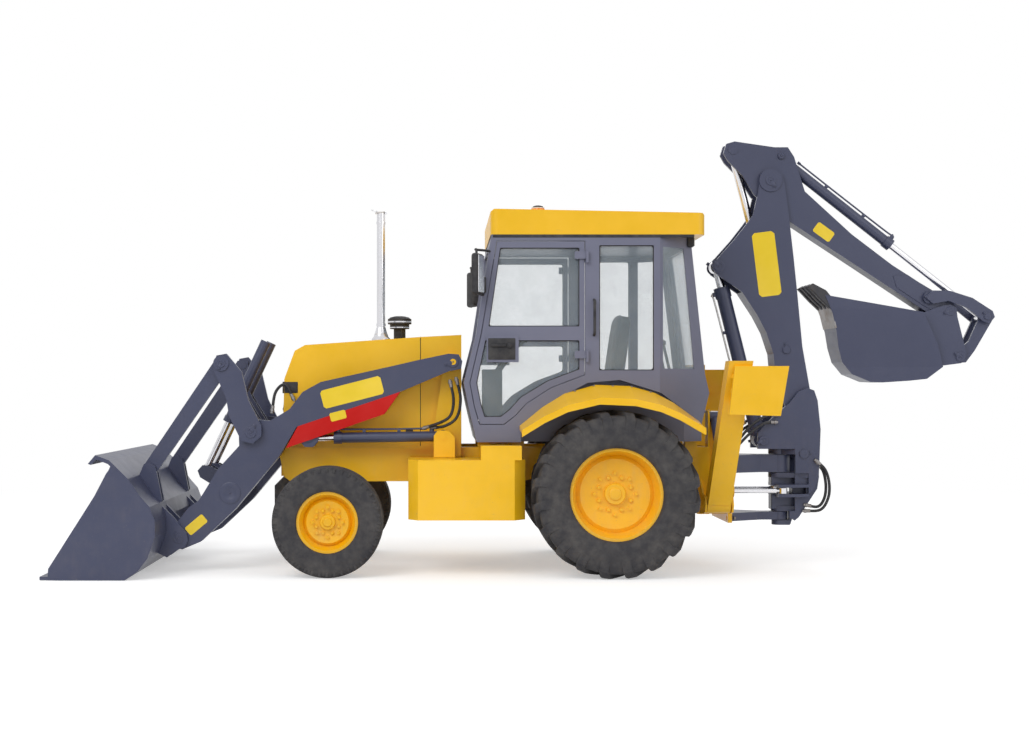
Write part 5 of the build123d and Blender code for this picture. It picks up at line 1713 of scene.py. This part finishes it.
@dataclass
class BucketEdge:
    """The loader bucket's bolted cutting edge; sizes in millimetres."""

    half: float = 1128.0
    front: float = -4452.0
    back: float = -4290.0

    def build(self, finishes: Finishes) -> None:
        """A worn wedge strip along the lip with a row of plough bolts.

        Args:
            finishes: the machine's finishes.
        """
        top = meets("loader_bucket", at(self.back, 0, 900), (0.0, 0.0, -1.0))[2] * 1000
        edge = Surface()
        outline = [(self.front, 1.0), (self.back, top + 1.0), (self.back + 8, top + 9.0),
                   (self.back - 60, top + 9.0), (self.front + 2, 4.0)]
        plate(edge, metres(outline), -self.half / 1000, self.half / 1000, 0.0005)
        for k in range(9):
            y = -self.half + 120 + k * (2 * self.half - 240) / 8
            lathe(edge, at(self.back - 30, y, top + 8), np.array([0.0, 0.0, 1.0]),
                  [(0, 0), (0.016, 0), (0.014, 0.005), (0, 0.006)], 16)
        edge.put("bucket_edge", "loader_bucket", Slot.STEEL, finishes.worn_steel)


# ---------------------------------------------------------------- lights, floor and camera
@dataclass
class Studio:
    """Pale floor, soft lights and the camera."""

    eye: Place = (-0.7805, -12.5, 1.485)
    lens: float = 51.6
    shift: tuple[float, float] = (0.0724, 0.016)
    floor_half: float = 60.0
    sky: float = 0.62
    lamp_size: float = 7.0
    aim: Place = (0.0, 0.0, 1.2)
    lamps: tuple[tuple[str, Place, float], ...] = (
        ("key_light", (-6.0, -9.0, 9.0), 640.0), ("fill_light", (8.0, -8.0, 6.0), 190.0),
        ("rim_light", (2.0, 9.0, 8.0), 260.0))

    def build(self) -> None:
        """Sets up the world, floor, lamps and camera."""
        scene = bpy.context.scene
        scene.view_settings.view_transform = "Standard"
        self.world(scene)
        self.floor()
        for name, place, power in self.lamps:
            self.lamp(name, place, power)
        data = bpy.data.cameras.new("camera")
        data.lens, data.sensor_width = self.lens, 36.0
        data.shift_x, data.shift_y = self.shift
        data.clip_end = 300.0
        camera = bpy.data.objects.new("camera", data)
        camera.location = self.eye
        camera.rotation_euler = (math.pi / 2, 0, 0)
        scene.collection.objects.link(camera)
        scene.camera = camera

    def world(self, scene: bpy.types.Scene) -> None:
        """A soft white sky that cameras, mirrors and glass see as plain white.

        Args:
            scene: the scene to set up.
        """
        world = bpy.data.worlds.new("studio_sky")
        world.use_nodes = True
        scene.world = world
        w = Wiring(world.node_tree)
        background = world.node_tree.nodes["Background"]
        background.inputs["Strength"].default_value = 1.0
        path = w.node("LightPath").outputs
        seen = w.math("MAXIMUM", path["Is Camera Ray"], path["Is Transmission Ray"])
        seen = w.math("MAXIMUM", seen, w.math("MULTIPLY", path["Is Glossy Ray"], 0.6))
        color = w.mix(seen, (self.sky, self.sky, self.sky * 1.01, 1), (1, 1, 1, 1))
        world.node_tree.links.new(color, background.inputs["Color"])

    def floor(self) -> None:
        """A wide pale floor that fades into the white backdrop."""
        mesh = bpy.data.meshes.new("studio_floor")
        h = self.floor_half
        mesh.from_pydata([(-h, -h, 0), (h, -h, 0), (h, h, 0), (-h, h, 0)], [], [(0, 1, 2, 3)])
        piece = bpy.data.objects.new("studio_floor", mesh)
        bpy.context.scene.collection.objects.link(piece)
        material = bpy.data.materials.new("pale_floor")
        material.use_nodes = True
        w = Wiring(material.node_tree)
        shader = material.node_tree.nodes["Principled BSDF"]
        place = w.node("TexCoord").outputs["Object"]
        mottle = w.noise(place, 0.6, 3)
        links = material.node_tree.links
        far = w.ramp(w.node("VectorMath", {0: place}, operation="LENGTH").outputs["Value"], 4.5, 11.0)
        pale = w.mix(mottle, (0.78, 0.78, 0.78, 1), (0.80, 0.80, 0.80, 1))
        links.new(w.mix(far, pale, (0, 0, 0, 1)), shader.inputs["Base Color"])
        shader.inputs["Roughness"].default_value = 0.9
        shader.inputs["Specular IOR Level"].default_value = 0.0
        path = w.node("LightPath").outputs
        seen = w.math("MAXIMUM", path["Is Camera Ray"], w.math("MAXIMUM", path["Is Glossy Ray"],
                                                               path["Is Transmission Ray"]))
        glow = w.mix(far, (0.42, 0.42, 0.42, 1), (1, 1, 1, 1))
        links.new(w.mix(seen, (0, 0, 0, 1), glow), shader.inputs["Emission Color"])
        shader.inputs["Emission Strength"].default_value = 1.0
        mesh.materials.append(material)

    def lamp(self, name: str, place: Place, power: float) -> None:
        """An area lamp aimed at the machine's middle.

        Args:
            name: the lamp's name.
            place: where it hangs.
            power: in watts.
        """
        data = bpy.data.lights.new(name, "AREA")
        data.shape, data.size, data.energy = "SQUARE", self.lamp_size, power
        lamp = bpy.data.objects.new(name, data)
        lamp.location = place
        way = np.array(self.aim) - np.array(place)
        tilt = math.atan2(math.hypot(way[0], way[1]), -way[2])
        lamp.rotation_euler = (tilt, 0, math.atan2(way[1], way[0]) - math.pi / 2)
        bpy.context.scene.collection.objects.link(lamp)


def main() -> None:
    """Builds the machine's looks in order."""
    logging.basicConfig(level=logging.INFO, format="%(name)s: %(message)s")
    finishes = Finishes()
    dress_frame(finishes)
    for side in Side:
        Tyre(f"rear_wheel_{side.word}", f"rear_tyre_{side.word}", f"rear_wheel_{side.word}_spin",
             outer=0.655, width=0.490, rim=0.366, lugs=20, lug_height=0.040, lug_width=0.062,
             sweep=0.26).build(finishes)
        RibbedTyre(f"front_wheel_{side.word}", f"front_tyre_{side.word}", f"front_wheel_{side.word}_spin",
                   outer=0.435, width=0.330, rim=0.245, lugs=44, lug_height=0.016, lug_width=0.044,
                   sweep=0.0).build(finishes)
        WheelFittings(side, "rear", hub_radius=0.085, nut_circle=0.135, nuts=8, across=0.030,
                      hub_node="rear_axle").build(finishes)
        WheelFittings(side, "front", hub_radius=0.062, nut_circle=0.095, nuts=8, across=0.024,
                      hub_node=f"knuckle_{side.word}").build(finishes)
    parts = (PinCaps(), PostColumn(), *DOUBLERS, CabFittings(), Seat(), FrontFittings(), BucketEdge(),
             HoeTeeth(), *HOSES, *BARE_PLATES, *BOLT_ROWS)
    for part in parts:
        part.build(finishes)
        log.info("built %s", getattr(part, "name", type(part).__name__))
    for ram in RAMS:
        ram.fittings(finishes)
    Studio().build()


if __name__ == "__main__":
    main()
